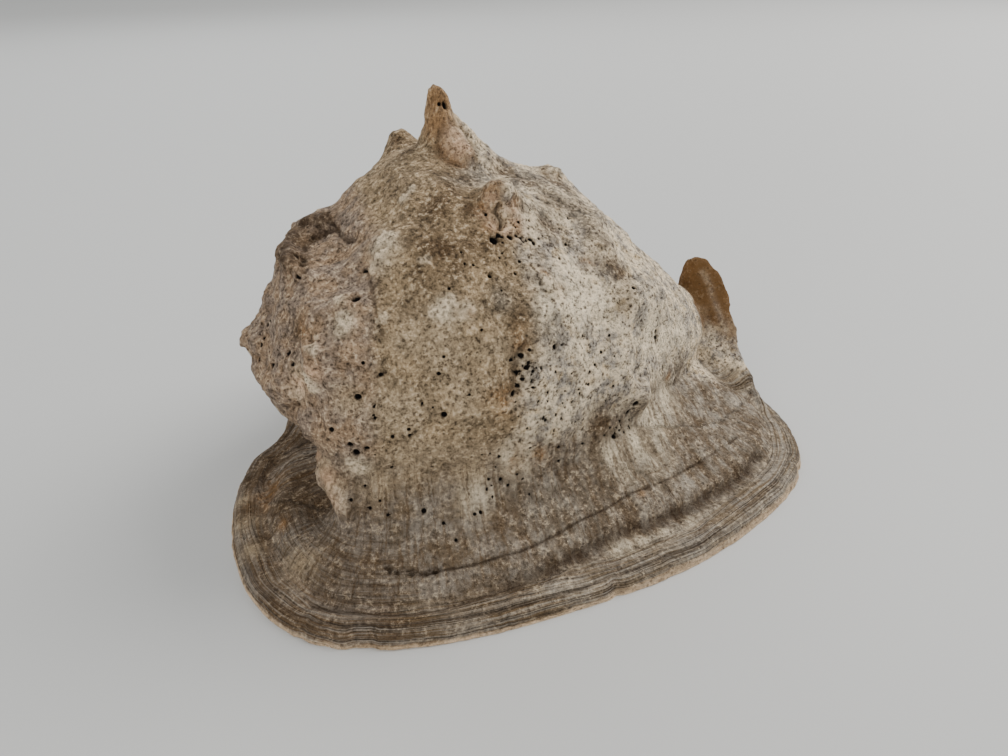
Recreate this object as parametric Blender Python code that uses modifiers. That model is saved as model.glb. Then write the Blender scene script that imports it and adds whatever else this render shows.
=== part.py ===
"""A weathered helmet shell, grown as one piece, lying on the flat rim of its lip and shield."""
import math

import bmesh
import bpy
from mathutils import Matrix, Vector, noise

MM = 0.001

# Lengths are in millimetres. x runs along the coiling axis from the spire's tip to the canal,
# the flared outer lip is on the -y side, the parietal shield on the +y side, and the shell rests on z = 0.
# Turns are in degrees about the axis, from straight up, positive towards the lip.
AXIS_HEIGHT_AT_TIP = 50.0
AXIS_FALL_PER_MM = 22.0 / 190.0
GROWTH_PER_TURN = 1.5

# Radius of the last whorl at its top, and on its lip side, where the ramp reaches further back.
TOP_PROFILE = [(-3, 2), (2, 8), (7, 14), (12, 22), (18, 36), (23, 41), (31, 44), (35, 45.5), (44, 54), (52, 62),
               (62, 67), (70, 66.5), (84, 65), (98, 62), (112, 60), (121, 54), (130, 46.5), (140, 38),
               (151, 30), (161, 21.5), (171, 14.5), (177, 9), (180, 4)]
LIP_PROFILE = [(-3, 2), (1, 14), (5, 29), (9, 38), (13, 48), (18, 58), (28, 64), (44, 67), (62, 70), (72, 71),
               (84, 70), (98, 66), (112, 62.5), (121, 57), (130, 50), (140, 43), (151, 35), (161, 26.5), (170, 17.5),
               (177, 8), (180, 4)]
LIP_SIDE_STARTS = 5.0
LIP_SIDE_FULL = 75.0
LIP_TURN = 118.0
BELLY_CLEARANCE = 4.0
# Under the spire the last whorl's back edge hangs clear of the lip, to end in a small hook.
UNDERCUT_TURNS = (98.0, 122.0)
UNDERCUT_DEPTH = 8.0
UNDERCUT_PART = (44.0, 20.0)
WHORL_STEP = 2.5
WHORL_SIDES = 120

# Shoulder knobs: name, place along the axis, turn, height above the whorl, radius at the foot and at the tip.
SHOULDER_KNOBS = [
    ("shoulder_knob_hidden", 66, -105, 6, 14, 5.0),
    ("shoulder_knob_far", 66, -68, 9, 14, 4.5),
    ("shoulder_knob_behind", 66.5, -27, 11.5, 15, 5.0),
    ("horn", 73.5, -2, 22, 9.5, 3.8),
    ("horn_scar", 77.5, 0, 13, 13, 5.5),
    ("shoulder_knob_second", 79, 28, 9, 15, 4.5),
    ("shoulder_knob_third", 74, 74, 3, 14, 8.0),
    ("shoulder_knob_fourth", 72, 104, 2.5, 13, 8.0),
    ("second_row_far", 118, -66, 4, 13, 6.0),
    ("second_row_behind", 122, -24, 5, 13, 5.5),
    ("second_row_crest", 111, -2, 4.5, 12, 6.0),
    ("second_row_top", 115, 24, 2.0, 13, 6.5),
    ("second_row_near", 118, 56, 4.0, 14, 6.5),
    ("second_row_low", 117, 88, 3.5, 13, 7.0),
]
KNOB_LEAN = {"horn": -3.0, "shoulder_knob_behind": -2.0}
KNOB_ROOT = 14.0
KNOB_SIDES = 20

# Rim of lip and shield, seen from above: a few points joined by a smooth closed curve.
RIM = [(-15.5, -32), (-12, -66), (5, -91), (37, -102), (76, -104), (116, -101), (150, -91), (178, -76),
       (193, -54), (196, -30), (196, -4), (184, 22), (158, 46), (122, 61), (84, 67), (48, 65), (22, 52),
       (11, 32), (5, 13), (-8, -3)]
RIM_SAMPLES = 160
SPINE_START = (38.0, -18.0)
SPINE_END = (160.0, -14.0)

# Height of the lip's upper face against the distance in from the rim: bevelled band, trough, old growth step.
LIP_FACE = [(0, 2.4), (1.3, 3.9), (4.5, 6.0), (7.5, 6.3), (10, 5.0), (13, 5.6), (16, 8.2), (18, 10.6), (21, 12.0)]
SHIELD_FACE = [(0, 2.2), (1.3, 3.6), (4.5, 5.0), (7.5, 5.4), (10, 5.5), (13, 5.8), (16, 6.2), (18, 6.6), (21, 7.2)]
# Rise of the flank from the old growth step to the whorl, as shares of the way and of the height.
FLANK_RISE = [(0, 0), (0.1, 0.12), (0.2, 0.34), (0.3, 0.62), (0.42, 0.88), (0.6, 1.0), (1.0, 1.0)]
LIP_TO_SHIELD = (12.0, -12.0)
REST_RING_WIDTH = 8.0
UNDER_RING_WIDTH = 20.0
REST_DEPTH = -2.0
HOLLOW_OF_FACE = 3.0
ROOF_AT_TIP = 52.0
ROOF_AT_CANAL = 30.0
ROOF_FALLS = (30.0, 170.0)
# The rise is straighter towards the canal, and hollow over the shield and behind the spire.
CANAL_PART = (120.0, 165.0)
CANAL_RISE_POWER = 1.15
SHIELD_RISE_POWER = 2.4
BACK_PART = (14.0, -8.0)
BACK_RISE_POWER = 3.6
INNER_RINGS = 9

# Back wall of the recurved canal, a bent plate that narrows upwards to a ragged tip.
# Each station is height, near edge x and y, far edge x and y, how far its middle bulges back, thickness.
CANAL_WALL = [(-2, 194, -45, 190, 20, 20, 14), (6, 191, -40, 188, 19, 18, 12), (12, 188, -35, 187, 18, 17, 10),
              (19, 186.5, -28, 186, 17, 16, 8), (26, 187, -21, 184, 16, 13, 6.5), (33, 188.5, -14, 182, 14, 10, 5.4),
              (36, 187, -12, 181, 13, 9, 5.4), (42, 189.5, -7.5, 179, 12, 7, 5.2),
              (48, 188, -5, 177, 10, 6, 5), (52, 185.5, -2.5, 176, 8.5, 4, 4.8), (57, 181.5, 1, 176.5, 6.5, 1, 4.2)]
CANAL_SAMPLES = 14
CANAL_EDGE_SHARE = 0.45

# Rounded edge of an older lip that stands across the spire, as places along the axis and turns.
OLD_LIP = [(33, -24), (28, -22), (23, -18), (20, -8), (18, 6), (18, 20), (19, 33)]
OLD_LIP_RADIUS = 4.2
OLD_LIP_SINK = 1.2
# Hook at the end of the last whorl's back edge: points in space, and radius.
HOOK = [(18, -50, 31), (19.5, -58, 25), (24, -63, 20), (33, -65, 19)]
HOOK_RADIUS = 5.0

# Lumps and dents worn into the whorl: place along the axis, turn, reach, height (below zero for a dent).
RELIEF = [
    (26, 6, 9, -4.5), (29, 28, 10, -4.5), (24, 44, 9, -3.0), (33, 42, 8, -2.5),
    (44, 36, 7, 2.2), (40, 45, 6, 2.0), (37, 56, 6, 1.6),
    (2, 60, 5, 2.0), (8, 30, 5, 2.2), (5, -20, 5, -1.5), (9, 80, 6, 2.5), (14, 55, 6, -2.5), (13, 95, 6, 2.8),
    (18, 70, 7, 2.0), (22, 58, 6, -2.0), (10, 5, 5, -1.6), (6, 110, 6, 2.5),
    (74, 70, 9, -2.4), (72, 95, 10, -1.6), (79, 47, 8, -2.2), (70, 14, 9, -1.2), (88, 12, 9, -1.2), (88, -3, 8, 2.5),
    (118, 80, 8, -2.4), (108, 62, 12, -1.6), (126, 72, 9, -1.4), (112, 40, 9, 1.2), (101, 88, 12, -1.2),
    (52, 70, 12, -1.2), (48, 20, 10, -1.0), (60, 50, 10, 1.0),
]
# A mark fades from its middle, and is gone at this many times its reach.
MARK_STEEPNESS = 1.6
MARK_END = 2.5
# Wear over the whole shell: grain size and depth, with the spire worn deepest.
WEAR = [(16.0, 1.1), (7.0, 0.8), (3.6, 0.45)]
SPIRE_WEAR = 1.1
SPIRE_PART = (34.0, 18.0)
SPIRE_HEIGHTS = (24.0, 34.0)
WEAR_FLOOR = (2.5, 14.0)

# Aperture: a long slit with a toothed lip edge and a folded inner edge, then the hollow of the last whorl.
SLIT_START = 30.0
SLIT_END = 172.0
# Half its width, against the place along the axis.
SLIT_WIDTHS = [(30, 4.2), (50, 7.6), (88, 9.0), (125, 8.2), (147, 6.0), (172, 6.0)]
SLIT_LINE = [(30, -46), (60, -51), (110, -49), (150, -34), (176, -20)]
TOOTH_PITCH = 9.0
TOOTH_HEIGHT = 1.7
FOLD_HEIGHT = 1.0
SLIT_FLOOR = -5.0
SLIT_TOP = 26.0
SLIT_FRONT_TOP = 11.0
SLIT_FALLS = (105.0, 150.0)
SLIT_SAMPLES_PER_TOOTH = 4
HOLLOW_TURNS = (131.0, -110.0)
HOLLOW_STEPS = 15
HOLLOW_SIDES = 14
HOLLOW_CENTRE_X = 88.0
HOLLOW_HALF_LENGTH = 56.0
HOLLOW_NARROWING = 0.45
HOLLOW_INNER_SHARE = 0.12
HOLLOW_LEAST_HEIGHT = 0.55
WALL = 7.0
COLUMELLA_RADIUS = 18.0
# Mouth of the canal, a channel from the slit's front end up in front of the canal's back wall.
CANAL_PATH = [(158, -29, -2, 7), (170, -21, -1, 9), (183, -14, 3, 11.5), (195, -11, 8, 14), (208, -9, 16, 18)]
CANAL_MOUTH_SIDES = 16

VOXEL = 1.4
FACE_BUDGET = 8300
SMOOTHING = 2
TRIM_HEIGHT = 0.6
TRIM_DEPTH = 30.0
TRIM_SIDE = 400.0
TRIM_CENTRE_X = 90.0

SHELL_COLOUR = (0.36, 0.29, 0.22, 1.0)
SHELL_ROUGHNESS = 0.85


def clear_scene():
    for item in list(bpy.data.objects):
        bpy.data.objects.remove(item, do_unlink=True)


def new_collection(name):
    collection = bpy.data.collections.new(name)
    bpy.context.scene.collection.children.link(collection)
    return collection


def smooth_step(low, high, value):
    share = min(1.0, max(0.0, (value - low) / (high - low)))
    return share * share * (3.0 - 2.0 * share)


def along(table, x):
    """Height of a polyline at x."""
    if x <= table[0][0]:
        return table[0][1]
    for (x0, y0), (x1, y1) in zip(table, table[1:]):
        if x <= x1:
            return y0 + (y1 - y0) * (x - x0) / (x1 - x0)
    return table[-1][1]


def axis_height(x):
    return AXIS_HEIGHT_AT_TIP - AXIS_FALL_PER_MM * x


def whorl_radius(x, turn):
    """Radius of the smooth last whorl, which widens as it coils towards the lip."""
    growth = GROWTH_PER_TURN ** (min(turn, 0.0) / 360.0)
    lip_share = smooth_step(LIP_SIDE_STARTS, LIP_SIDE_FULL, turn)
    recess = UNDERCUT_DEPTH * smooth_step(*UNDERCUT_TURNS, turn) * smooth_step(*UNDERCUT_PART, x)
    x -= recess
    if turn > LIP_TURN:
        back_to_start = smooth_step(LIP_TURN, 180.0, turn)
        lip_share *= 1.0 - back_to_start
        growth = 1.0 + (GROWTH_PER_TURN ** -0.5 - 1.0) * back_to_start
    return (along(TOP_PROFILE, x) * (1.0 - lip_share) + along(LIP_PROFILE, x) * lip_share) * growth


def on_whorl(x, turn, radius):
    angle = math.radians(turn)
    return Vector((x, -radius * math.sin(angle), axis_height(x) + radius * math.cos(angle)))


def loft(rings):
    """Closed skin through rings of equal length, with both end rings filled."""
    mesh = bmesh.new()
    rows = [[mesh.verts.new(point) for point in ring] for ring in rings]
    for row, following in zip(rows, rows[1:]):
        for index in range(len(row)):
            after = (index + 1) % len(row)
            mesh.faces.new((row[index], row[after], following[after], following[index]))
    mesh.faces.new(reversed(rows[0]))
    mesh.faces.new(rows[-1])
    bmesh.ops.recalc_face_normals(mesh, faces=mesh.faces)
    return mesh


def whorl():
    """Last whorl with the spire at its back, rounded off above the floor."""
    first, last = TOP_PROFILE[0][0], TOP_PROFILE[-1][0]
    stations = int((last - first) / WHORL_STEP)
    rings = []
    for station in range(stations + 1):
        x = first + (last - first) * station / stations
        ring = []
        for side in range(WHORL_SIDES):
            turn = -180.0 + 360.0 * side / WHORL_SIDES
            point = on_whorl(x, turn, whorl_radius(x, turn))
            point.z = max(point.z, BELLY_CLEARANCE)
            ring.append(point)
        rings.append(ring)
    return loft(rings)


def knob(name, x, turn, height, foot, tip):
    """Blunt cone that stands on the whorl, its root sunk into it."""
    base = whorl_radius(x, turn)
    start = on_whorl(x, turn, base - KNOB_ROOT)
    end = on_whorl(x, turn, base + height - tip)
    end.x += KNOB_LEAN.get(name, 0.0)
    along_knob = end - start
    length = along_knob.length
    foot_at_root = foot + (foot - tip) * KNOB_ROOT / max(height, KNOB_ROOT)
    mesh = bmesh.new()
    bmesh.ops.create_cone(mesh, cap_ends=True, segments=KNOB_SIDES, radius1=foot_at_root,
                          radius2=tip, depth=length)
    place = Matrix.Translation((start + end) / 2) @ along_knob.to_track_quat("Z", "Y").to_matrix().to_4x4()
    bmesh.ops.transform(mesh, matrix=place, verts=mesh.verts)
    bmesh.ops.create_icosphere(mesh, subdivisions=3, radius=tip, matrix=Matrix.Translation(end))
    return mesh


def rim_curve():
    """Points at even parameters of a closed cubic through the rim's points."""
    count = len(RIM)
    points = []
    for sample in range(RIM_SAMPLES):
        position = sample * count / RIM_SAMPLES
        index = int(position)
        t = position - index
        p0, p1, p2, p3 = (Vector(RIM[(index + offset) % count]) for offset in (-1, 0, 1, 2))
        points.append(0.5 * (2 * p1 + (p2 - p0) * t + (2 * p0 - 5 * p1 + 4 * p2 - p3) * t ** 2
                             + (3 * p1 - 3 * p2 + p3 - p0) * t ** 3))
    return points


def nearest_on_spine(point):
    start, end = Vector(SPINE_START), Vector(SPINE_END)
    share = (point - start).dot(end - start) / (end - start).length_squared
    return start + (end - start) * min(1.0, max(0.0, share))


def brim():
    """Flared lip and parietal shield: one plate whose upper face climbs from the rim to the whorl."""
    rim = rim_curve()
    rings = []
    levels = [("under", UNDER_RING_WIDTH), ("rest", REST_RING_WIDTH), ("rest", 0.0)]
    levels += [("face", distance) for distance, _ in LIP_FACE]
    levels += [("slope", (ring + 1) / INNER_RINGS) for ring in range(INNER_RINGS - 1)]
    for kind, amount in levels:
        ring = []
        for point in rim:
            centre = nearest_on_spine(point)
            reach = (centre - point).length
            lip_share = smooth_step(*LIP_TO_SHIELD, point.y)
            behind = smooth_step(*BACK_PART, point.x)
            distance = amount
            if kind == "slope":
                distance = LIP_FACE[-1][0] + (reach - LIP_FACE[-1][0]) * amount
            place = point + (centre - point) * (distance / reach)
            if kind == "under":
                height = HOLLOW_OF_FACE
            elif kind == "rest":
                height = REST_DEPTH
            else:
                edge = along(LIP_FACE, distance) * lip_share + along(SHIELD_FACE, distance) * (1 - lip_share)
                height = edge
            if kind == "slope":
                roof = ROOF_AT_TIP + (ROOF_AT_CANAL - ROOF_AT_TIP) * smooth_step(*ROOF_FALLS, point.x)
                ahead = smooth_step(*CANAL_PART, point.x)
                rise = along(FLANK_RISE, amount) * (1 - ahead) + amount ** CANAL_RISE_POWER * ahead
                rise = rise * lip_share + amount ** SHIELD_RISE_POWER * (1 - lip_share)
                rise = rise * (1 - behind) + amount ** BACK_RISE_POWER * behind
                height = edge + (roof - edge) * rise
            ring.append(Vector((place.x, place.y, height)))
        rings.append(ring)
    return loft(rings)


def canal_wall():
    """Plate of the siphonal canal, bent up across the shell's front end."""
    rings = []
    for height, near_x, near_y, far_x, far_y, bulge, thickness in CANAL_WALL:
        near, far = Vector((near_x, near_y)), Vector((far_x, far_y))
        middle = (near + far) / 2 - Vector((2 * bulge, 0))
        front, back = [], []
        for sample in range(CANAL_SAMPLES + 1):
            t = sample / CANAL_SAMPLES
            place = near * (1 - t) ** 2 + middle * 2 * t * (1 - t) + far * t ** 2
            run = (middle - near) * (1 - t) + (far - middle) * t
            side = Vector((run.y, -run.x)).normalized()
            half = thickness / 2 * (CANAL_EDGE_SHARE + (1 - CANAL_EDGE_SHARE) * math.sin(math.pi * t) ** 0.5)
            front.append(Vector((*(place + side * half), height)))
            back.append(Vector((*(place - side * half), height)))
        rings.append(front + back[::-1])
    return loft(rings)


def tube(points, radius):
    """Round rod with domed ends through the given points, made from a curve."""
    curve = bpy.data.curves.new("tube", "CURVE")
    curve.dimensions = "3D"
    curve.bevel_depth = radius
    curve.bevel_resolution = 3
    curve.use_fill_caps = True
    curve.resolution_u = 6
    spline = curve.splines.new("BEZIER")
    spline.bezier_points.add(len(points) - 1)
    for knot, point in zip(spline.bezier_points, points):
        knot.co = point
        knot.handle_left_type = knot.handle_right_type = "AUTO"
    item = bpy.data.objects.new("tube", curve)
    bpy.context.scene.collection.objects.link(item)
    mesh = bmesh.new()
    mesh.from_mesh(evaluated_mesh(item))
    bpy.data.objects.remove(item, do_unlink=True)
    bmesh.ops.remove_doubles(mesh, verts=mesh.verts, dist=0.001)
    for end in (points[0], points[-1]):
        bmesh.ops.create_icosphere(mesh, subdivisions=2, radius=radius, matrix=Matrix.Translation(end))
    return mesh


def evaluated_mesh(item):
    bpy.context.view_layer.update()
    graph = bpy.context.evaluated_depsgraph_get()
    return bpy.data.meshes.new_from_object(item.evaluated_get(graph))


def old_lip():
    points = [on_whorl(x, turn, whorl_radius(x, turn) - OLD_LIP_SINK) for x, turn in OLD_LIP]
    return tube(points, OLD_LIP_RADIUS)


def wear_down(mesh):
    """Lumps, dents and grain pressed into the fused surface along its normals."""
    marks = [(on_whorl(x, turn, whorl_radius(x, turn)), reach, height) for x, turn, reach, height in RELIEF]
    mesh.normal_update()
    moves = []
    for vertex in mesh.verts:
        place = vertex.co / MM
        push = 0.0
        for centre, reach, height in marks:
            distance = (place - centre).length
            if distance < MARK_END * reach:
                push += height * math.exp(-((distance / reach) ** 2) * MARK_STEEPNESS)
        above_floor = smooth_step(*WEAR_FLOOR, place.z)
        spire = 1.0 + SPIRE_WEAR * smooth_step(*SPIRE_PART, place.x) * smooth_step(*SPIRE_HEIGHTS, place.z)
        for grain, depth in WEAR:
            push += depth * spire * above_floor * noise.noise(place / grain)
        moves.append(vertex.normal * push * MM)
    for vertex, move in zip(mesh.verts, moves):
        vertex.co += move


def slit():
    """Cutter for the aperture: its lip side is scalloped by teeth, its inner side by weaker folds."""
    samples = int((SLIT_END - SLIT_START) / TOOTH_PITCH) * SLIT_SAMPLES_PER_TOOTH
    lip_edge, inner_edge = [], []
    for sample in range(samples + 1):
        share = sample / samples
        x = SLIT_START + (SLIT_END - SLIT_START) * share
        half = along(SLIT_WIDTHS, x)
        tooth = max(0.0, math.sin(math.tau * x / TOOTH_PITCH))
        fold = max(0.0, math.cos(math.tau * x / TOOTH_PITCH))
        middle = along(SLIT_LINE, x)
        lip_edge.append((x, middle - half + TOOTH_HEIGHT * tooth))
        inner_edge.append((x, middle + half - FOLD_HEIGHT * fold))
    outline = lip_edge + inner_edge[::-1]
    floor = [Vector((x, y, SLIT_FLOOR)) for x, y in outline]
    fall = SLIT_FRONT_TOP - SLIT_TOP
    roof = [Vector((x, y, SLIT_TOP + fall * smooth_step(*SLIT_FALLS, x))) for x, y in outline]
    return loft([floor, roof])


def whorl_hollow():
    """Cutter for the empty last whorl, which narrows as it winds back over the columella."""
    rings = []
    first, last = HOLLOW_TURNS
    for stage in range(HOLLOW_STEPS + 1):
        turn = first + (last - first) * stage / HOLLOW_STEPS
        narrowing = 1.0 - HOLLOW_NARROWING * stage / HOLLOW_STEPS
        ring = []
        for side in range(HOLLOW_SIDES):
            angle = math.tau * side / HOLLOW_SIDES
            x = HOLLOW_CENTRE_X + HOLLOW_HALF_LENGTH * narrowing * math.cos(angle)
            outer = whorl_radius(x, turn) - WALL
            inner = COLUMELLA_RADIUS + (outer - COLUMELLA_RADIUS) * HOLLOW_INNER_SHARE
            centre = (outer + inner) / 2
            half = (outer - inner) / 2 * (HOLLOW_LEAST_HEIGHT + (1.0 - HOLLOW_LEAST_HEIGHT) * narrowing)
            ring.append(on_whorl(x, turn, centre + half * math.sin(angle)))
        rings.append(ring)
    return loft(rings)


def canal_mouth():
    """Cutter for the open channel in front of the canal's back wall."""
    rings = []
    for x, y, z, radius in CANAL_PATH:
        angles = [math.tau * side / CANAL_MOUTH_SIDES for side in range(CANAL_MOUTH_SIDES)]
        rings.append([Vector((x, y + radius * math.cos(angle), z + radius * math.sin(angle))) for angle in angles])
    return loft(rings)


def floor_block():
    mesh = bmesh.new()
    bmesh.ops.create_cube(mesh, size=1.0)
    bmesh.ops.scale(mesh, vec=(TRIM_SIDE, TRIM_SIDE, TRIM_DEPTH), verts=mesh.verts)
    bmesh.ops.translate(mesh, vec=(TRIM_CENTRE_X, 0.0, TRIM_HEIGHT - TRIM_DEPTH / 2), verts=mesh.verts)
    return mesh


def join(pieces):
    joined = bmesh.new()
    for piece in pieces:
        data = bpy.data.meshes.new("piece")
        piece.to_mesh(data)
        piece.free()
        joined.from_mesh(data)
        bpy.data.meshes.remove(data)
    return joined


def add_object(name, mesh, collection):
    bmesh.ops.scale(mesh, vec=(MM, MM, MM), verts=mesh.verts)
    data = bpy.data.meshes.new(name)
    mesh.to_mesh(data)
    mesh.free()
    item = bpy.data.objects.new(name, data)
    collection.objects.link(item)
    return item


def shell_material():
    material = bpy.data.materials.new("weathered_shell")
    material.use_nodes = True
    shader = material.node_tree.nodes["Principled BSDF"]
    shader.inputs["Base Color"].default_value = SHELL_COLOUR
    shader.inputs["Roughness"].default_value = SHELL_ROUGHNESS
    shader.inputs["Metallic"].default_value = 0.0
    return material


def fuse(shell):
    """Makes one skin of the overlapping pieces, then wears it down."""
    remesh = shell.modifiers.new("Fuse", "REMESH")
    remesh.mode = "VOXEL"
    remesh.voxel_size = VOXEL * MM
    fused = evaluated_mesh(shell)
    shell.modifiers.remove(remesh)
    mesh = bmesh.new()
    mesh.from_mesh(fused)
    for _ in range(SMOOTHING):
        bmesh.ops.smooth_vert(mesh, verts=mesh.verts, factor=0.5, use_axis_x=True, use_axis_y=True, use_axis_z=True)
    wear_down(mesh)
    mesh.to_mesh(shell.data)
    mesh.free()
    bpy.data.meshes.remove(fused)


def cut(shell, cutter):
    cutter.hide_render = True
    cutter.display_type = "WIRE"
    boolean = shell.modifiers.new("Cut " + cutter.name, "BOOLEAN")
    boolean.operation = "DIFFERENCE"
    boolean.object = cutter


def stand_on_origin(shell, items):
    """Moves everything under one empty, so that the middle of the shell's footprint is the origin."""
    corners = [shell.matrix_world @ vertex.co for vertex in evaluated_mesh(shell).vertices]
    low = [min(corner[axis] for corner in corners) for axis in range(3)]
    high = [max(corner[axis] for corner in corners) for axis in range(3)]
    stand = bpy.data.objects.new("stand", None)
    bpy.context.scene.collection.objects.link(stand)
    stand.location = (-(low[0] + high[0]) / 2, -(low[1] + high[1]) / 2, -low[2])
    for item in items:
        item.parent = stand


def main():
    clear_scene()
    shells = new_collection("helmet_shell_parts")
    cutters = new_collection("cutters")
    pieces = [whorl(), brim(), canal_wall(), old_lip(), tube(HOOK, HOOK_RADIUS)]
    pieces += [knob(*row) for row in SHOULDER_KNOBS]
    shell = add_object("helmet_shell", join(pieces), shells)
    shell.data.materials.append(shell_material())
    fuse(shell)
    thin_out = shell.modifiers.new("Facets", "DECIMATE")
    thin_out.ratio = FACE_BUDGET / (2 * len(shell.data.polygons))
    makers = (whorl_hollow, slit, canal_mouth, floor_block)
    holes = [add_object(maker.__name__, maker(), cutters) for maker in makers]
    for hole in holes:
        cut(shell, hole)
    stand_on_origin(shell, [shell] + holes)


main()
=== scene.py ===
# %% [markdown]
# # A weathered horned helmet shell
# A big helmet shell has lain on a beach and then on a shelf for years. Its gloss is gone, worms have
# bored it, and grit has rubbed the colour off the high places. The solid frame already holds the big
# forms: whorl, knobs, horn, flared lip and canal. This script adds what the eye sees next, which is
# growth ridges, cracks, pits, flakes and the colours of old shell.

# %% Load the frame
import math

import bmesh
import bpy
import numpy as np
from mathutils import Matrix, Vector, kdtree, noise
from mathutils.bvhtree import BVHTree


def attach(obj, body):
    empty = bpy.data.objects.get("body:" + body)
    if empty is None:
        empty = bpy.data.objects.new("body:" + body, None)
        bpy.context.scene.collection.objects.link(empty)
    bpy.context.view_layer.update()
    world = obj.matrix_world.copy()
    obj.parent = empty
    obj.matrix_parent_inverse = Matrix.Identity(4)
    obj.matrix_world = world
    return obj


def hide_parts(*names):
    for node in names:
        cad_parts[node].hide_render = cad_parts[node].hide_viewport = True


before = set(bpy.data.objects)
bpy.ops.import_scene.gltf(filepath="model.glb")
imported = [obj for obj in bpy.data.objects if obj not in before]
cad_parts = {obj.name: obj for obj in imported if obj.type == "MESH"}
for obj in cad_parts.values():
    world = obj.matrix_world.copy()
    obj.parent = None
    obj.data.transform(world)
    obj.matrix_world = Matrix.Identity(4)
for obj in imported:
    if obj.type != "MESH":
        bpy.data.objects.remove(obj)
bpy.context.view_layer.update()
MM = 0.001


# %% [markdown]
# ## The camera of the photograph
# A camera that looks down sees all upright lines point at one place below the picture. That place and
# the horizon give the lens and the tilt. With the camera placed, any pixel becomes a ray, and a mark
# seen in the photograph can be dropped onto the surface it lies on.

# %% Camera
PHOTO_CENTRE = (504.0, 378.0)
FOCAL_PIXELS = 757.0
SENSOR_WIDTH = 36.0
PHOTO_WIDTH = 1008.0
CAMERA_PLACE = Vector((-85.6, -222.8, 172.4))
HEADING = math.radians(20.0)
LOOK_DOWN = math.radians(31.14)

forward = Vector((math.sin(HEADING) * math.cos(LOOK_DOWN), math.cos(HEADING) * math.cos(LOOK_DOWN),
                  -math.sin(LOOK_DOWN)))
rightward = Vector((math.cos(HEADING), -math.sin(HEADING), 0.0))
upward = rightward.cross(forward)


def in_scene(name, data):
    """New object that holds some data, linked to the scene."""
    made = bpy.data.objects.new(name, data)
    bpy.context.scene.collection.objects.link(made)
    return made


camera_data = bpy.data.cameras.new("photo_camera")
camera_data.sensor_width = SENSOR_WIDTH
camera_data.lens = FOCAL_PIXELS / PHOTO_WIDTH * SENSOR_WIDTH
camera = in_scene("photo_camera", camera_data)
camera.location = CAMERA_PLACE * MM
camera.rotation_euler = forward.to_track_quat("-Z", "Y").to_euler()
bpy.context.scene.camera = camera


def pixel_ray(pixel):
    """Direction from the camera through a pixel of the photograph."""
    across = pixel[0] - PHOTO_CENTRE[0]
    down = pixel[1] - PHOTO_CENTRE[1]
    return (forward * FOCAL_PIXELS + rightward * across - upward * down).normalized()


print("lens", round(camera_data.lens, 2), "mm")

# %% [markdown]
# ## A skin fine enough to carve
# The frame's facets are a few millimetres across, which is too coarse for a growth ridge. A copy is
# refined by halving long edges until they are short enough. The lip gets the shortest edges because its
# ridges are the finest, and the inside stays coarse because nothing small is seen there. Whether a
# place is outside is found by asking if it can see the sky in any direction.

# %% Copy and look outwards
SHELL_NODE = "helmet_shell"
SKY_DIRECTIONS = 40
SKY_SLANT = -0.2
CLEAR_OF_SKIN = 0.3
OUTSIDE_SHARE = 0.02
MERGE_DISTANCE = 0.01


def sky_directions():
    """Evenly spread directions over the upper half of a sphere."""
    found = []
    golden_angle = math.pi * (3.0 - math.sqrt(5.0))
    for index in range(SKY_DIRECTIONS):
        height = (index + 0.5) / SKY_DIRECTIONS
        flat = math.sqrt(1.0 - height * height)
        angle = index * golden_angle
        found.append(Vector((flat * math.cos(angle), flat * math.sin(angle), height)))
    return found


def open_sky(mesh, tree):
    """Share of the sky that each vertex sees, as a list."""
    directions = sky_directions()
    shares = []
    for vertex in mesh.verts:
        start = vertex.co + vertex.normal * CLEAR_OF_SKIN
        facing = [way for way in directions if vertex.normal.dot(way) > SKY_SLANT]
        clear = [way for way in facing if tree.ray_cast(start, way)[0] is None]
        shares.append(len(clear) / SKY_DIRECTIONS)
    return shares


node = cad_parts[SHELL_NODE]
skin = bmesh.new()
skin.from_mesh(node.data)
bmesh.ops.transform(skin, matrix=node.matrix_world, verts=skin.verts)
bmesh.ops.scale(skin, vec=(1 / MM,) * 3, verts=skin.verts)
bmesh.ops.remove_doubles(skin, verts=skin.verts, dist=MERGE_DISTANCE)
bmesh.ops.recalc_face_normals(skin, faces=skin.faces)
skin.normal_update()
frame_tree = BVHTree.FromBMesh(skin)
sky_layer = skin.verts.layers.float.new("sky")
for vertex, share in zip(skin.verts, open_sky(skin, frame_tree)):
    vertex[sky_layer] = share
print("copy:", len(skin.verts), "vertices")

# %% [markdown]
# ## The rim and the lines of the lip
# A helmet shell thickens its lip from time to time, and each stop leaves a line that runs along the
# rim. The strongest of them, the long crack, the trough of the old lip and the sutures of the spire are
# written down as pixels of the photograph and dropped onto the copy. The rim itself is found by shooting
# inwards just above its flat rest.

# %% Lines
RIM_HEIGHT = 1.0
RIM_START = 220.0
SAMPLE_SPACING = 0.5
CRACK = [
    (386, 569), (398, 572), (412, 571), (428, 574), (441, 571), (470, 566), (500, 557), (520, 552),
    (555, 536), (582, 520), (606, 509), (631, 493), (647, 488), (669, 479), (692, 467), (716, 452),
    (737, 438)
]
CRACK_MOUTH = [(386, 570), (398, 573), (408, 572), (428, 573), (442, 571)]
TROUGH = [
    (313, 603), (339, 609), (384, 611), (415, 611), (445, 605), (474, 597), (511, 585), (545, 573),
    (567, 561), (598, 546), (622, 533), (655, 523), (684, 512), (704, 501), (729, 487), (747, 473),
    (759, 457)
]
DEEP_TROUGH = 6
STOP_LINE = [
    (241, 545), (251, 575), (266, 597), (290, 613), (317, 622), (347, 627), (380, 628), (413, 624),
    (460, 618), (500, 610), (531, 603), (551, 597), (582, 589), (606, 577), (639, 567), (667, 555),
    (696, 546), (722, 532)
]
FINE_LINE = [(440, 612), (470, 606), (500, 597), (541, 585), (582, 571), (610, 558), (640, 547), (676, 536)]
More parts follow.
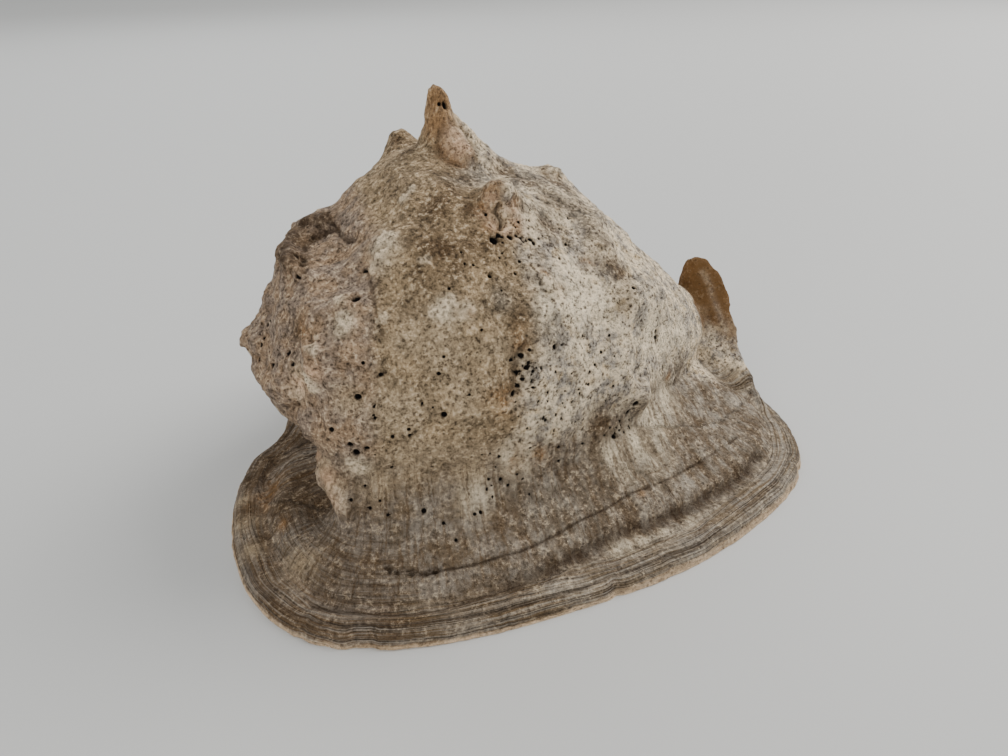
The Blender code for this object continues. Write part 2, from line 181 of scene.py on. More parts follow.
SUTURE = [(328, 216), (333, 226), (340, 234), (347, 240), (355, 240)]
UNDER_OLD_LIP = [(334, 228), (324, 232), (313, 237), (305, 246), (302, 260), (304, 273)]
RAMP_EDGE = [(384, 246), (372, 256), (365, 268), (371, 284), (374, 302), (378, 320), (382, 336)]
KNOB_CRACK = [(500, 204), (496, 212), (503, 221), (501, 230)]
VARIX = [(326, 218), (313, 219), (302, 224), (292, 235), (287, 248), (287, 262)]
LEDGE = [(264, 408), (275, 408), (287, 407), (300, 404)]
POCKET_EDGE = [(527, 341), (519, 352), (514, 366), (513, 381), (517, 396)]


def search_tree(points):
    """Tree that finds the nearest of some points."""
    tree = kdtree.KDTree(len(points))
    for index, point in enumerate(points):
        tree.insert(point, index)
    tree.balance()
    return tree


def line_tree(points, closed=False):
    """Search tree over a line that is sampled every half millimetre, and its samples' lengths along."""
    ends = list(points[1:]) + ([points[0]] if closed else [])
    samples = []
    lengths = []
    total = 0.0
    for start, end in zip(points, ends):
        start, end = Vector(start), Vector(end)
        steps = max(1, round((end - start).length / SAMPLE_SPACING))
        for step_index in range(steps):
            samples.append(start.lerp(end, step_index / steps))
            lengths.append(total + (end - start).length * step_index / steps)
        total += (end - start).length
    return search_tree(samples), lengths


def outer_rim(tree):
    """Points along the rim seen from above, one for each degree."""
    centre = Vector((0.0, 0.0, RIM_HEIGHT))
    found = []
    for degree in range(360):
        outward = Vector((math.cos(math.radians(degree)), math.sin(math.radians(degree)), 0.0))
        hit = tree.ray_cast(centre + outward * RIM_START, -outward)[0]
        if hit is not None:
            found.append((hit.x, hit.y, 0.0))
    return found


def dropped(pixels, tree):
    """Places on the shell that a row of pixels of the photograph shows."""
    hits = [tree.ray_cast(CAMERA_PLACE, pixel_ray(pixel))[0] for pixel in pixels]
    return [hit for hit in hits if hit is not None]


rim_tree, rim_lengths = line_tree(outer_rim(frame_tree), closed=True)
carved_lines = [CRACK, SUTURE, UNDER_OLD_LIP, RAMP_EDGE, KNOB_CRACK, POCKET_EDGE, LEDGE]
carved_trees = [line_tree(dropped(pixels, frame_tree))[0] for pixels in carved_lines]
trough_tree = line_tree(dropped(TROUGH[DEEP_TROUGH:], frame_tree))[0]
print("rim is", round(rim_lengths[-1]), "mm long")

# %% [markdown]
# ## Refine
# Halving every edge that is too long keeps the triangles well shaped. How long an edge may be depends
# on where it is: very short beside a carved line, short on the lip and along its trough, longer over the
# whorl and on the sides that the photograph hides, and long where the sky is never seen.

# %% Refine the copy
COARSE_EDGE = 7.0
NEAR_EDGE = 1.8
FAR_EDGE = 3.0
LIP_EDGE = 0.9
FAR_LIP_EDGE = 2.2
LINE_EDGE = 0.5
LINE_REACH = 1.0
LIP_REACH = 11.0
RIM_STRIP = 2.5
TROUGH_REACH = 3.0
LIP_TOP = 14.0
FLAT_TOP = 0.3
REFINE_ROUNDS = 5


def halve_long_edges(mesh, wanted, rounds):
    """Splits every edge that is longer than wanted(edge), and again in the next round."""
    for _ in range(rounds):
        long_edges = [edge for edge in mesh.edges if edge.calc_length() > wanted(edge)]
        if not long_edges:
            break
        bmesh.ops.subdivide_edges(mesh, edges=long_edges, cuts=1)
        bmesh.ops.triangulate(mesh, faces=[face for face in mesh.faces if len(face.verts) > 3])


def wanted_on_back(edge):
    first, second = edge.verts
    middle = (first.co + second.co) / 2
    from_rim = rim_tree.find(Vector((middle.x, middle.y, 0.0)))[2] if middle.z < LIP_TOP else LIP_REACH
    lip_edge = LIP_EDGE if middle.xy.dot(CAMERA_PLACE.xy) > 0.0 else FAR_LIP_EDGE
    if from_rim < RIM_STRIP:
        return lip_edge
    if max(first[sky_layer], second[sky_layer]) < OUTSIDE_SHARE or middle.z < FLAT_TOP:
        return COARSE_EDGE
    near_side = (first.normal + second.normal).dot(CAMERA_PLACE - middle) > 0.0
    if near_side and min(tree.find(middle)[2] for tree in carved_trees) < LINE_REACH:
        return LINE_EDGE
    if from_rim < LIP_REACH or trough_tree.find(middle)[2] < TROUGH_REACH:
        return lip_edge
    return NEAR_EDGE if near_side else FAR_EDGE


halve_long_edges(skin, wanted_on_back, REFINE_ROUNDS)
print("refined skin:", len(skin.verts), "vertices,", len(skin.faces), "faces")

# %% [markdown]
# ## Round off the facets
# The refined copy still has the frame's flat facets. A few rounds that move each vertex towards the
# middle of its neighbours melt the facets into one skin. Places that must stay as they are, the flat
# rest and the inside, are held still.

# %% Smooth
SMOOTH_ROUNDS = 7
SMOOTH_SHARE = 0.5


def places_of(mesh):
    return np.array([vertex.co for vertex in mesh.verts])


def edge_pairs(mesh):
    mesh.verts.index_update()
    return np.array([(edge.verts[0].index, edge.verts[1].index) for edge in mesh.edges])


def smoothed(places, pairs, share, rounds):
    """Moves each place towards its neighbours' mean by its own share."""
    count = len(places)
    valence = np.bincount(pairs.ravel(), minlength=count)
    for _ in range(rounds):
        mean = np.empty_like(places)
        for axis in range(3):
            column = places[:, axis]
            mean[:, axis] = (np.bincount(pairs[:, 0], column[pairs[:, 1]], count)
                             + np.bincount(pairs[:, 1], column[pairs[:, 0]], count)) / valence
        places = places + (mean - places) * share[:, None]
    return places


def put_places(mesh, places):
    for vertex, place in zip(mesh.verts, places):
        vertex.co = place
    mesh.normal_update()


places = places_of(skin)
sky = np.array([vertex[sky_layer] for vertex in skin.verts])
share = np.where((sky > OUTSIDE_SHARE) & (places[:, 2] > FLAT_TOP), SMOOTH_SHARE, 0.0)
put_places(skin, smoothed(places, edge_pairs(skin), share, SMOOTH_ROUNDS))
skin_tree = BVHTree.FromBMesh(skin)


def drop(pixel):
    """Place on the shell that a pixel of the photograph shows, or None if it misses."""
    return skin_tree.ray_cast(CAMERA_PLACE, pixel_ray(pixel))[0]


print("horn tip on the shell, mm:", [round(value, 1) for value in drop((438, 98))])

# %% [markdown]
# ## Where the worms bored
# Boring worms and sponges leave round pinholes. Each one seen in the photograph is written down as its
# pixel and its radius in millimetres, then dropped onto the skin. A patch of fine pores is a pixel, a
# reach in pixels and a count. The sides that the photograph hides get holes of the same kind, scattered
# with a fixed seed. Edges are halved again near each hole, so that it is round.

# %% Pinholes
PINHOLES = [
    (356, 299, 1.5), (333, 265, 0.6), (363, 270, 0.9), (357, 398, 1.1), (356, 454, 1.4), (367, 449, 0.9),
    (350, 445, 0.9), (351, 500, 0.6), (363, 363, 0.6), (381, 375, 0.8), (375, 419, 0.6), (393, 438, 0.6),
    (392, 468, 0.6), (388, 515, 0.5), (370, 508, 0.6), (365, 486, 0.5), (380, 501, 0.5), (321, 442, 0.5),
    (331, 430, 0.9), (307, 453, 0.9), (306, 381, 1), (292, 364, 1), (289, 353, 0.9), (273, 366, 0.9),
    (256, 361, 0.8), (261, 345, 0.9), (247, 336, 0.8), (266, 324, 0.8), (263, 338, 0.6), (254, 318, 0.9),
    (278, 267, 1.1), (279, 258, 0.9), (296, 257, 1.1), (297, 277, 0.9), (277, 298, 0.7), (439, 374, 0.7),
    (444, 357, 0.5), (444, 416, 1.05), (409, 430, 0.7), (410, 436, 0.7), (424, 511, 0.9), (444, 523, 0.6),
    (456, 540, 0.6), (475, 514, 0.6), (481, 512, 0.7), (491, 275, 0.8), (555, 347, 1), (559, 448, 0.7),
    (559, 461, 0.7), (664, 368, 1.1), (673, 377, 1), (674, 383, 1), (657, 332, 1), (657, 338, 0.9),
    (446, 105, 1.3), (439, 104, 0.7), (422, 121, 1), (494, 240, 1.7), (498, 236, 0.9), (510, 237, 1.2),
    (517, 235, 0.7), (531, 239, 0.9), (534, 243, 0.8), (519, 222, 0.6), (486, 214, 0.6), (522, 355, 0.8),
    (527, 366, 0.9), (516, 370, 0.9), (524, 380, 0.9), (519, 389, 0.9), (514, 396, 0.8), (529, 350, 0.6),
    (636, 404, 1.2), (630, 414, 1.1), (622, 423, 0.8), (615, 437, 0.8), (638, 251, 1.3), (629, 277, 0.8),
    (632, 290, 0.7), (501, 480, 0.6), (509, 486, 0.6), (530, 447, 0.6), (470, 395, 0.5), (482, 330, 0.5),
    (465, 263, 0.5), (474, 264, 0.5), (449, 288, 0.6), (461, 252, 0.5), (590, 385, 0.6), (603, 352, 0.5),
    (573, 402, 0.5), (545, 420, 0.6), (556, 415, 0.6), (582, 430, 0.5), (540, 368, 0.7), (519, 262, 0.6),
    (515, 274, 0.6), (502, 290, 0.5), (567, 243, 0.6), (560, 258, 0.6), (597, 365, 0.5), (610, 335, 0.5)
]
PORE_PATCHES = [
    (524, 370, 14, 16), (508, 475, 22, 12), (540, 410, 26, 14), (590, 415, 34, 16), (624, 425, 12, 7),
    (516, 240, 18, 11), (550, 222, 22, 10), (585, 360, 36, 10), (430, 420, 60, 7), (275, 330, 26, 10)
]
PORE_SMALL = 0.3
PORE_LARGE = 0.55
SCATTERED_HOLES = 100
SCATTER_SEED = 11
SCATTER_SMALL = 0.4
SCATTER_LARGE = 1.0
SCATTER_LOW = 18.0
HOLE_EDGE = 0.34
FAR_HOLE_EDGE = 0.68
HOLE_EDGE_GROWTH = 0.3
HOLE_REACH = 1.5
HOLE_MARGIN = 0.15
HOLE_ROUNDS = 2

hole_list = [(drop(row[:2]), row[2]) for row in PINHOLES]
random_source = np.random.default_rng(SCATTER_SEED)
for column, row, reach, count in PORE_PATCHES:
    for spread_u, spread_v, size in random_source.random((count, 3)):
        pixel = (column + reach * (2 * spread_u - 1), row + reach * (2 * spread_v - 1))
        hole_list.append((drop(pixel), PORE_SMALL + (PORE_LARGE - PORE_SMALL) * size))
hole_list = [(place, radius) for place, radius in hole_list if place is not None]
seen_holes = len(hole_list)
hidden = [vertex.co.copy() for vertex in skin.verts
          if vertex[sky_layer] > OUTSIDE_SHARE and vertex.co.z > SCATTER_LOW
          and vertex.normal.dot(CAMERA_PLACE - vertex.co) < 0.0]
for pick in random_source.choice(len(hidden), SCATTERED_HOLES, replace=False):
    radius = SCATTER_SMALL + (SCATTER_LARGE - SCATTER_SMALL) * float(random_source.random()) ** 2
    hole_list.append((hidden[pick], radius))

hole_tree = search_tree([place for place, radius in hole_list])


def wanted_near_holes(edge):
    middle = (edge.verts[0].co + edge.verts[1].co) / 2
    _, index, distance = hole_tree.find(middle)
    radius = hole_list[index][1]
    if distance > HOLE_REACH * radius + HOLE_MARGIN:
        return COARSE_EDGE
    return (HOLE_EDGE if index < seen_holes else FAR_HOLE_EDGE) + HOLE_EDGE_GROWTH * radius


halve_long_edges(skin, wanted_near_holes, HOLE_ROUNDS)
print(len(hole_list), "holes,", len(skin.faces), "faces")

# %% [markdown]
# ## Shell coordinates
# Many marks follow the way the shell grew. Growth ridges run parallel to the rim and fine wrinkles run
# across it, so each vertex gets its distance in from the rim and its distance along the rim. Other
# marks follow the coil, and for them each vertex gets a turn about the axis, which slopes from the
# spire down to the canal.

# %% Coordinates
SPIRE_TIP = Vector((-93.4, 18.3, 49.4))
CANAL_END = Vector((99.6, 18.3, 27.4))
ROUND_FALL = 1.6

places = places_of(skin)
normals = np.array([vertex.normal for vertex in skin.verts])
sky = np.array([vertex[sky_layer] for vertex in skin.verts])
x, y, z = places.T
nearest_rim = [rim_tree.find(Vector((place[0], place[1], 0.0))) for place in places]
rim_distance = np.array([found[2] for found in nearest_rim])
along_rim = np.array([rim_lengths[found[1]] for found in nearest_rim])
axis_height = SPIRE_TIP.z + (x - SPIRE_TIP.x) / (CANAL_END.x - SPIRE_TIP.x) * (CANAL_END.z - SPIRE_TIP.z)
turn = np.degrees(np.arctan2(SPIRE_TIP.y - y, z - axis_height))
outer = (sky > OUTSIDE_SHARE) & (z > FLAT_TOP)


def step(low, high, value):
    """Soft step that rises from 0 at low to 1 at high, or falls where low is the larger."""
    share = np.clip((value - low) / (high - low), 0.0, 1.0)
    return share * share * (3.0 - 2.0 * share)


def near(pixel, radius):
    """Soft round mask about the place that a pixel shows, 1 in its middle."""
    centre = drop(pixel)
    if centre is None:
        return np.zeros(len(places))
    distance = np.linalg.norm(places - np.array(centre), axis=1)
    return np.exp(-((distance / radius) ** 2) * ROUND_FALL)


def ring(pixel, radius, width):
    """Soft ring mask about the place that a pixel shows."""
    distance = np.linalg.norm(places - np.array(drop(pixel)), axis=1)
    return np.exp(-(((distance - radius) / width) ** 2))


def shifted(pixels, down):
    """The same pixels, moved down the picture."""
    return [(column, row + down) for column, row in pixels]


def near_line(pixels, width):
    """Soft mask along a line of pixels dropped onto the shell."""
    tree, _ = line_tree(dropped(pixels, skin_tree))
    distance = np.array([tree.find(place)[2] for place in places])
    return np.exp(-((distance / width) ** 2))


def beyond_line(pixels, softness):
    """Mask of what lies on the canal's side of a line that runs round the whorl."""
    marks = np.array(dropped(pixels, skin_tree))
    heights = np.interp(marks[:, 0], (SPIRE_TIP.x, CANAL_END.x), (SPIRE_TIP.z, CANAL_END.z))
    turns = np.degrees(np.arctan2(SPIRE_TIP.y - marks[:, 1], marks[:, 2] - heights))
    order = np.argsort(turns)
    border = np.interp(turn, turns[order], marks[order, 0])
    return step(-softness, softness, x - border)


def field(size, octaves=3, offset=0.0, stretch=(1.0, 1.0, 1.0)):
    """Fractal noise at every vertex, from about -1 to 1, with lumps of a size in mm."""
    shift = Vector((offset, offset * 1.7, offset * 0.6))
    scaled = places / (np.array(stretch) * size)
    return np.array([noise.fractal(Vector(place) + shift, 1.0, 2.0, octaves) for place in scaled])


def wrinkle_field(pitch, length, offset=0.0):
    """Noise drawn out across the rim, as wrinkles of a pitch and a length in mm."""
    drawn = zip(along_rim / pitch, rim_distance / length)
    return np.array([noise.fractal(Vector((first, second, offset)), 1.0, 2.0, 2) for first, second in drawn])


print("distance from the rim up to", round(float(rim_distance.max()), 1), "mm")

# %% [markdown]
# ## Carve the lip
# Every mark is a push along the surface's normal, in millimetres. The pushes are added up and the skin
# moves once at the end. The lip first: growth ridges go out and in like a wave, the lines of the big
# stops cut deeper, and short wrinkles run across between the crack and the trough. A row of the table
# below is a line, its width and how far it stands out, or goes in where the number is negative.

# %% Lip
RIDGE_PITCH = 2.3
RIDGE_HEIGHT = 0.20
WAVE_PITCH = 3.1 * RIDGE_PITCH
WAVE_HEIGHT = 0.32
CLIMB_SHARE = 0.9
CLIMB_TOP = 7.0
WANDER = 0.8
LIP_FADE = (13.5, 9.0)
LIP_TOP_FADE = (22.0, 14.0)
WRINKLE_SIZE = (3.0, 14.0)
WRINKLE_HEIGHT = 0.45
COARSE_WRINKLE_SIZE = (6.5, 26.0)
COARSE_WRINKLE_HEIGHT = 0.6
RIDGE_BELOW = 13
LIP_ABOVE = -5
MOUTH_WIDTH = 1.1
MOUTH_DEPTH = 1.8
LIP_MARKS = {
    "trough": (TROUGH, 2.4, -1.7), "trough_ridge": (shifted(TROUGH, RIDGE_BELOW), 2.0, 0.9),
    "stop_line": (STOP_LINE, 0.6, -0.65), "fine_line": (FINE_LINE, 0.5, -0.4),
    "crack": (CRACK, 0.42, -0.8), "crack_lip": (shifted(CRACK, LIP_ABOVE), 2.0, 0.55)}

push = np.zeros(len(places))
marks = {}


def carve(rows):
    """Adds each line's push to the skin's, and keeps the line as a mask."""
    for name, (pixels, width, height) in rows.items():
        marks[name] = near_line(pixels, width)
        push[:] += height * marks[name]


ripple = rim_distance + CLIMB_SHARE * np.minimum(z, CLIMB_TOP) + WANDER * field(14.0, 2, 3.0)
lip = step(*LIP_FADE, rim_distance) * step(*LIP_TOP_FADE, z)
spire_lip = 0.6 * step(34.0, 22.0, rim_distance) * step(-48.0, -62.0, x) * step(24.0, 16.0, z)
lip = np.maximum(lip, spire_lip)
strength = 0.6 + 0.6 * field(20.0, 2, 12.0)
push += RIDGE_HEIGHT * lip * strength * np.cos(2 * np.pi * ripple / RIDGE_PITCH)
push += WAVE_HEIGHT * lip * np.cos(2 * np.pi * ripple / WAVE_PITCH + 1.0)

carve(LIP_MARKS)
marks["trough_line"] = np.maximum(near_line(TROUGH, 0.8), near_line(TROUGH[DEEP_TROUGH:], 2.3))
marks["crack_mouth"] = near_line(CRACK_MOUTH, MOUTH_WIDTH) * step(-0.45, 0.15, field(3.0, 2, 8.0))
push -= MOUTH_DEPTH * marks["crack_mouth"]

wrinkles = wrinkle_field(*WRINKLE_SIZE)
coarse_wrinkles = wrinkle_field(*COARSE_WRINKLE_SIZE, 5.0)
wrinkled = step(8.0, 14.0, rim_distance) * step(62.0, 34.0, rim_distance) * step(48.0, 24.0, z)
push += wrinkled * (WRINKLE_HEIGHT * wrinkles + COARSE_WRINKLE_HEIGHT * coarse_wrinkles)
print("ridges", RIDGE_PITCH, "mm apart,", len(LIP_MARKS), "lines")

# %% [markdown]
# ## Carve the whorl
# Rounded lumps stand where the second row of knobs has worn down. Sutures, where one whorl joins the
# next, are cut as grooves, and a former lip stands up on the spire as a ridge. Flakes of the outer layer
# that still hold stand a little proud, with an edge torn by noise. Eroded pockets go in, and the horn has
# a healed scar, which is a dome in a groove.

# %% Whorl
LUMPS = [
    (600, 232, 5, 0.6), (634, 292, 6, 1), (617, 262, 5, 0.8), (640, 396, 4, 0.8), (590, 330, 9, 0.8),
    (505, 190, 4.5, 0.8), (486, 232, 5, 0.6), (541, 345, 5, 0.9), (536, 395, 5.5, 0.8), (540, 470, 6, 0.8),
    (322, 350, 6, 0.8), (404, 420, 10, 0.5), (459, 144, 6, 1.1), (281, 392, 6.5, 2.9), (272, 380, 5, 1),
    (428, 112, 4, 0.7)
]
DENTS = [
    (590, 262, 8, 1.2), (560, 225, 8, 0.9), (595, 345, 11, 1), (664, 345, 8, 0.7), (628, 262, 5, 0.9),
    (520, 366, 5, 1.3), (519, 388, 4.5, 1.2), (636, 412, 5, 1.3), (622, 428, 5, 0.9), (497, 226, 3, 0.9),
    (310, 262, 5, 1), (303, 290, 5, 1.2), (296, 330, 4.5, 1), (338, 330, 6, 0.9), (470, 285, 10, 0.5),
    (480, 440, 9, 0.6), (515, 440, 4, 0.8), (507, 492, 5, 0.7), (366, 262, 2.6, 1.2), (493, 209, 2.4, 1.3),
    (509, 212, 1.8, 0.6), (462, 121, 4, 1.5), (471, 132, 5, 2.2), (480, 142, 5.5, 2.6), (553, 167, 8, 2.2)
]
FLAKES = [
    (384, 240, 4.2), (379, 255, 3.6), (372, 268, 2.4), (442, 310, 3.6), (466, 313, 2.8), (452, 304, 2.6),
    (343, 318, 2.6), (340, 332, 2.4), (383, 318, 2.4), (404, 200, 2.4), (412, 190, 1.8), (424, 262, 2),
    (522, 464, 3.4), (526, 442, 3), (310, 388, 2.8), (345, 322, 2.4), (356, 468, 2.8), (340, 300, 2.2),
    (560, 296, 2.6), (548, 282, 2.6), (575, 372, 2.6), (312, 350, 2.6)
]
FLAKE_HEIGHT = 0.45
FLAKE_GROOVE = 0.2
FLAKE_TEAR = 0.42
FLAKE_REACH = 1.3
FLAKE_BORDER = 0.42
FLAKE_BORDER_WIDTH = 0.05
FLAKE_LEVELS = (0.44, 0.58)
DENT_TEAR = 0.4
SUTURE_DEPTH = 1.5
SCAR = (459, 144)
SCAR_RADIUS = 6.8
SCAR_WIDTH = 0.9
SCAR_DEPTH = 0.6
PALE_LINE = [(630, 298), (626, 311), (626, 356), (627, 370), (633, 391), (639, 403)]
PALE_CREST = [(592, 224), (603, 238), (620, 258), (634, 271), (648, 283), (668, 297)]
KNOB_ARC = [(484, 198), (489, 189), (497, 185), (505, 191), (510, 203), (513, 216)]
SHOULDER_LINE = [(505, 245), (526, 268), (541, 300), (538, 336), (536, 372), (530, 420)]
LEDGE_ABOVE = -9
WHORL_MARKS = {
    "ramp_edge": (RAMP_EDGE, 0.7, -0.8), "knob_crack": (KNOB_CRACK, 0.6, -1.6),
    "pocket_edge": (POCKET_EDGE, 0.9, -1.0), "ledge": (LEDGE, 0.8, -1.1),
    "ledge_top": (shifted(LEDGE, LEDGE_ABOVE), 2.0, 0.9), "varix": (VARIX, 2.6, 1.4),
    "knob_arc": (KNOB_ARC, 1.2, 0.9), "pale_crest": (PALE_CREST, 4.5, 1.2),
    "pale_line": (PALE_LINE, 4.0, 1.1), "shoulder": (SHOULDER_LINE, 5.0, 0.8)}

carve(WHORL_MARKS)
marks["suture"] = np.maximum(near_line(SUTURE, 0.8), near_line(UNDER_OLD_LIP, 1.0))
marks["scar_rim"] = ring(SCAR, SCAR_RADIUS, SCAR_WIDTH)
marks["varix_shade"] = near_line(VARIX, 4.2)
push -= SUTURE_DEPTH * marks["suture"] + SCAR_DEPTH * marks["scar_rim"]
for column, row, radius, height in LUMPS:
    push += height * near((column, row), radius)
tear = field(2.4, 3, 21.0)
for column, row, radius, depth in DENTS:
    push -= depth * near((column, row), radius) * (1.0 + DENT_TEAR * tear)
flake = np.zeros(len(places))
flake_edge = np.zeros(len(places))
for column, row, radius in FLAKES:
    torn = near((column, row), FLAKE_REACH * radius) + FLAKE_TEAR * tear
    flake = np.maximum(flake, step(*FLAKE_LEVELS, torn))
    border = np.exp(-(((torn - FLAKE_BORDER) / FLAKE_BORDER_WIDTH) ** 2))
    flake_edge = np.maximum(flake_edge, border)
marks["flake_edge"] = flake_edge
push += FLAKE_HEIGHT * flake - FLAKE_GROOVE * flake_edge
print(len(LUMPS), "lumps,", len(DENTS), "dents,", len(FLAKES), "flakes")

# %% [markdown]
# ## Grain of the worn surface
# Sun and sand leave the surface granular. Noise of three sizes does it, strongest on the spire, where
# the shell is oldest, and on the flank, and faint on the lip. Small pits come from noise that is cut
# off below a level, so they are separate and sharp. Beside a steep edge the push can turn a sliver of
# the skin over, so the places round such a sliver are eased towards their neighbours.

# %% Grain and holes
DEEPEST_PUSH = -3.4
HIGHEST_PUSH = 3.0
UNFOLD_ROUNDS = 10
EASE_ROUNDS = 2
BIG_GRAIN = 0.45
COARSE_GRAIN = 0.42
FINE_GRAIN = 0.26
PIT_DEPTH = 0.45
HORN_GRAIN = 0.35
HORN_CALM = 0.75
HORN_PLACES = [(438, 105, 9), (440, 135, 9)]
HOLE_DEPTH = 1.7
HOLE_CORE = 0.8
HOLE_FADE = 2.0
HOLE_STEEPNESS = 6


def spots(rows):
    """Soft mask over rows of a pixel and a radius."""
    mask = np.zeros(len(places))
    for column, row, radius in rows:
        mask = np.maximum(mask, near((column, row), radius))
    return mask


def corner_cross(points, corners):
    """Vector square to each triangle, on the side that its corners' order makes the outer one."""
    first, second, third = (points[corners[:, index]] for index in range(3))
    return np.cross(second - first, third - first)


def unfolded(moved, outward, mesh):
    """The moved places, eased towards their neighbours wherever a sliver was turned over."""
    pairs = edge_pairs(mesh)
    corners = np.array([[vertex.index for vertex in face.verts] for face in mesh.faces])
    face_outward = outward[corners].sum(axis=1)
    for _ in range(UNFOLD_ROUNDS):
        turned = (face_outward * corner_cross(moved, corners)).sum(axis=1) < 0.0
        share = np.zeros(len(moved))
        share[np.unique(corners[turned])] = SMOOTH_SHARE
        moved = smoothed(moved, pairs, share, EASE_ROUNDS)
    print(int(turned.sum()), "slivers still turned over")
    return moved


big_grain = field(11.0, 2, 41.0)
coarse_grain = field(5.0, 3, 5.0)
grain = field(2.1, 3, 0.0)
pits = step(0.30, 0.62, field(2.6, 2, 14.0))
ruggedness = field(26.0, 2, 50.0)
spire_share = step(-50.0, -68.0, x) * step(18.0, 30.0, z)
horn_share = spots(HORN_PLACES)
rough_share = 0.3 + 0.7 * step(12.0, 30.0, z) * (1.0 + 1.1 * spire_share + 0.5 * ruggedness)
rough_share = rough_share * (1.0 - HORN_CALM * horn_share)
push += rough_share * (BIG_GRAIN * big_grain + COARSE_GRAIN * coarse_grain + FINE_GRAIN * grain
                       - PIT_DEPTH * pits)
push += HORN_GRAIN * horn_share * field(1.5, 2, 33.0, (1.0, 1.0, 7.0))

hole = np.zeros(len(places))
vertex_tree = search_tree(places)
for centre, radius in hole_list:
    for _, index, distance in vertex_tree.find_range(centre, HOLE_FADE * radius):
        inside = 1.0 / (1.0 + (distance / (HOLE_CORE * radius)) ** HOLE_STEEPNESS)
        if inside > hole[index]:
            push[index] -= HOLE_DEPTH * radius * (inside - hole[index])
            hole[index] = inside

push = np.clip(push, DEEPEST_PUSH, HIGHEST_PUSH) * outer
places = unfolded(places + normals * push[:, None], normals, skin)
print("deepest push", round(float(push.min()), 2), "mm, highest", round(float(push.max()), 2), "mm")

# %% [markdown]
# ## Nibbled edges
# The rim and the tip of the canal are the thinnest places, and both are nibbled. On the rim, noise
# along its length pulls the edge in by up to half a millimetre, and a few chips go in by about one. The
# canal's edge is more ragged.

# %% Nibble
CHIPS = [(352, 648, 1.1), (361, 651, 1), (370, 650, 1.2), (621, 599, 1.1), (797, 470, 1.4), (300, 638, 0.7)]
NIBBLE = 0.45
NIBBLE_REACH = (6.0, 3.0)
NIBBLE_LENGTH = 7.0
NIBBLE_BIAS = 0.1
RIM_TOP = 9.0
CHIP_WIDTH = 1.8
CHIP_DEPTH = 0.75
CANAL_BITE = 1.2

inward = places * np.array([-1.0, -1.0, 0.0])
inward /= np.linalg.norm(inward, axis=1)[:, None]
nibble_places = [Vector((length / NIBBLE_LENGTH, 0.0, 7.0)) for length in along_rim]
nibble = np.array([noise.fractal(place, 1.0, 2.0, 3) for place in nibble_places])
at_rim = step(*NIBBLE_REACH, rim_distance) * (z < RIM_TOP)
bite = NIBBLE * np.clip(nibble + NIBBLE_BIAS, 0.0, 1.0) * at_rim
for column, row, radius in CHIPS:
    ray = pixel_ray((column, row))
    at_floor = CAMERA_PLACE + ray * ((RIM_HEIGHT - CAMERA_PLACE.z) / ray.z)
    length = rim_lengths[rim_tree.find(Vector((at_floor.x, at_floor.y, 0.0)))[1]]
    bite += CHIP_DEPTH * radius * np.exp(-((along_rim - length) / CHIP_WIDTH) ** 2) * at_rim
places += inward * bite[:, None]
canal_edge = step(84.0, 90.0, x) * step(24.0, 34.0, z)
places[:, 2] -= canal_edge * CANAL_BITE * np.clip(field(3.5, 3, 61.0), 0.0, 1.0)
put_places(skin, places)
print(len(CHIPS), "chips, deepest bite", round(float(bite.max()), 1), "mm")

# %% [markdown]
# ## Spots seen in the photograph
# A stain, a bleached place or a rusty one has no clear edge. Each is written down as a pixel and a radius
# in millimetres. Borders between regions are rows of pixels.

# %% Spots
ORANGE_SPOTS = [
    (438, 100, 10), (438, 118, 8), (441, 148, 3), (445, 155, 3.6), (452, 161, 3.4), (462, 164, 2.2),
    (489, 191, 3), (496, 187, 3.4), (470, 312, 2), (642, 494, 2), (668, 376, 2.4), (364, 262, 2)
]
RUST_SPOTS = [
    (266, 502, 7), (274, 486, 6), (283, 523, 3.5), (497, 208, 2.5), (300, 330, 4), (484, 206, 2.5),
    (488, 229, 3), (514, 203, 2.5), (517, 229, 3), (516, 458, 4), (540, 455, 5), (512, 470, 3),
    (560, 290, 3), (545, 275, 3), (520, 340, 4), (505, 400, 6), (590, 262, 4)
]
PINK_SPOTS = [
    (454, 138, 5), (463, 150, 4.5), (458, 145, 5), (491, 199, 2.6), (488, 213, 3.4), (492, 224, 3.6),
    (513, 210, 3.5), (515, 222, 3.5), (505, 230, 3), (333, 500, 4), (326, 478, 4), (318, 455, 4),
    (300, 385, 5), (312, 372, 4)
]
GREY_SPOTS = [
    (523, 358, 5), (521, 374, 5), (521, 388, 4), (632, 412, 4), (550, 332, 7), (460, 182, 6),
    (600, 500, 13), (560, 195, 9), (580, 215, 8), (530, 178, 7), (598, 236, 5), (560, 520, 9),
    (546, 500, 10), (640, 478, 9), (636, 412, 5), (478, 176, 8), (500, 300, 5), (512, 184, 5),
    (540, 210, 6)
]
BROWN_FOOT = (704, 328)
CANAL_RIDGE = [(703, 272), (709, 285), (714, 300), (720, 315), (727, 332)]
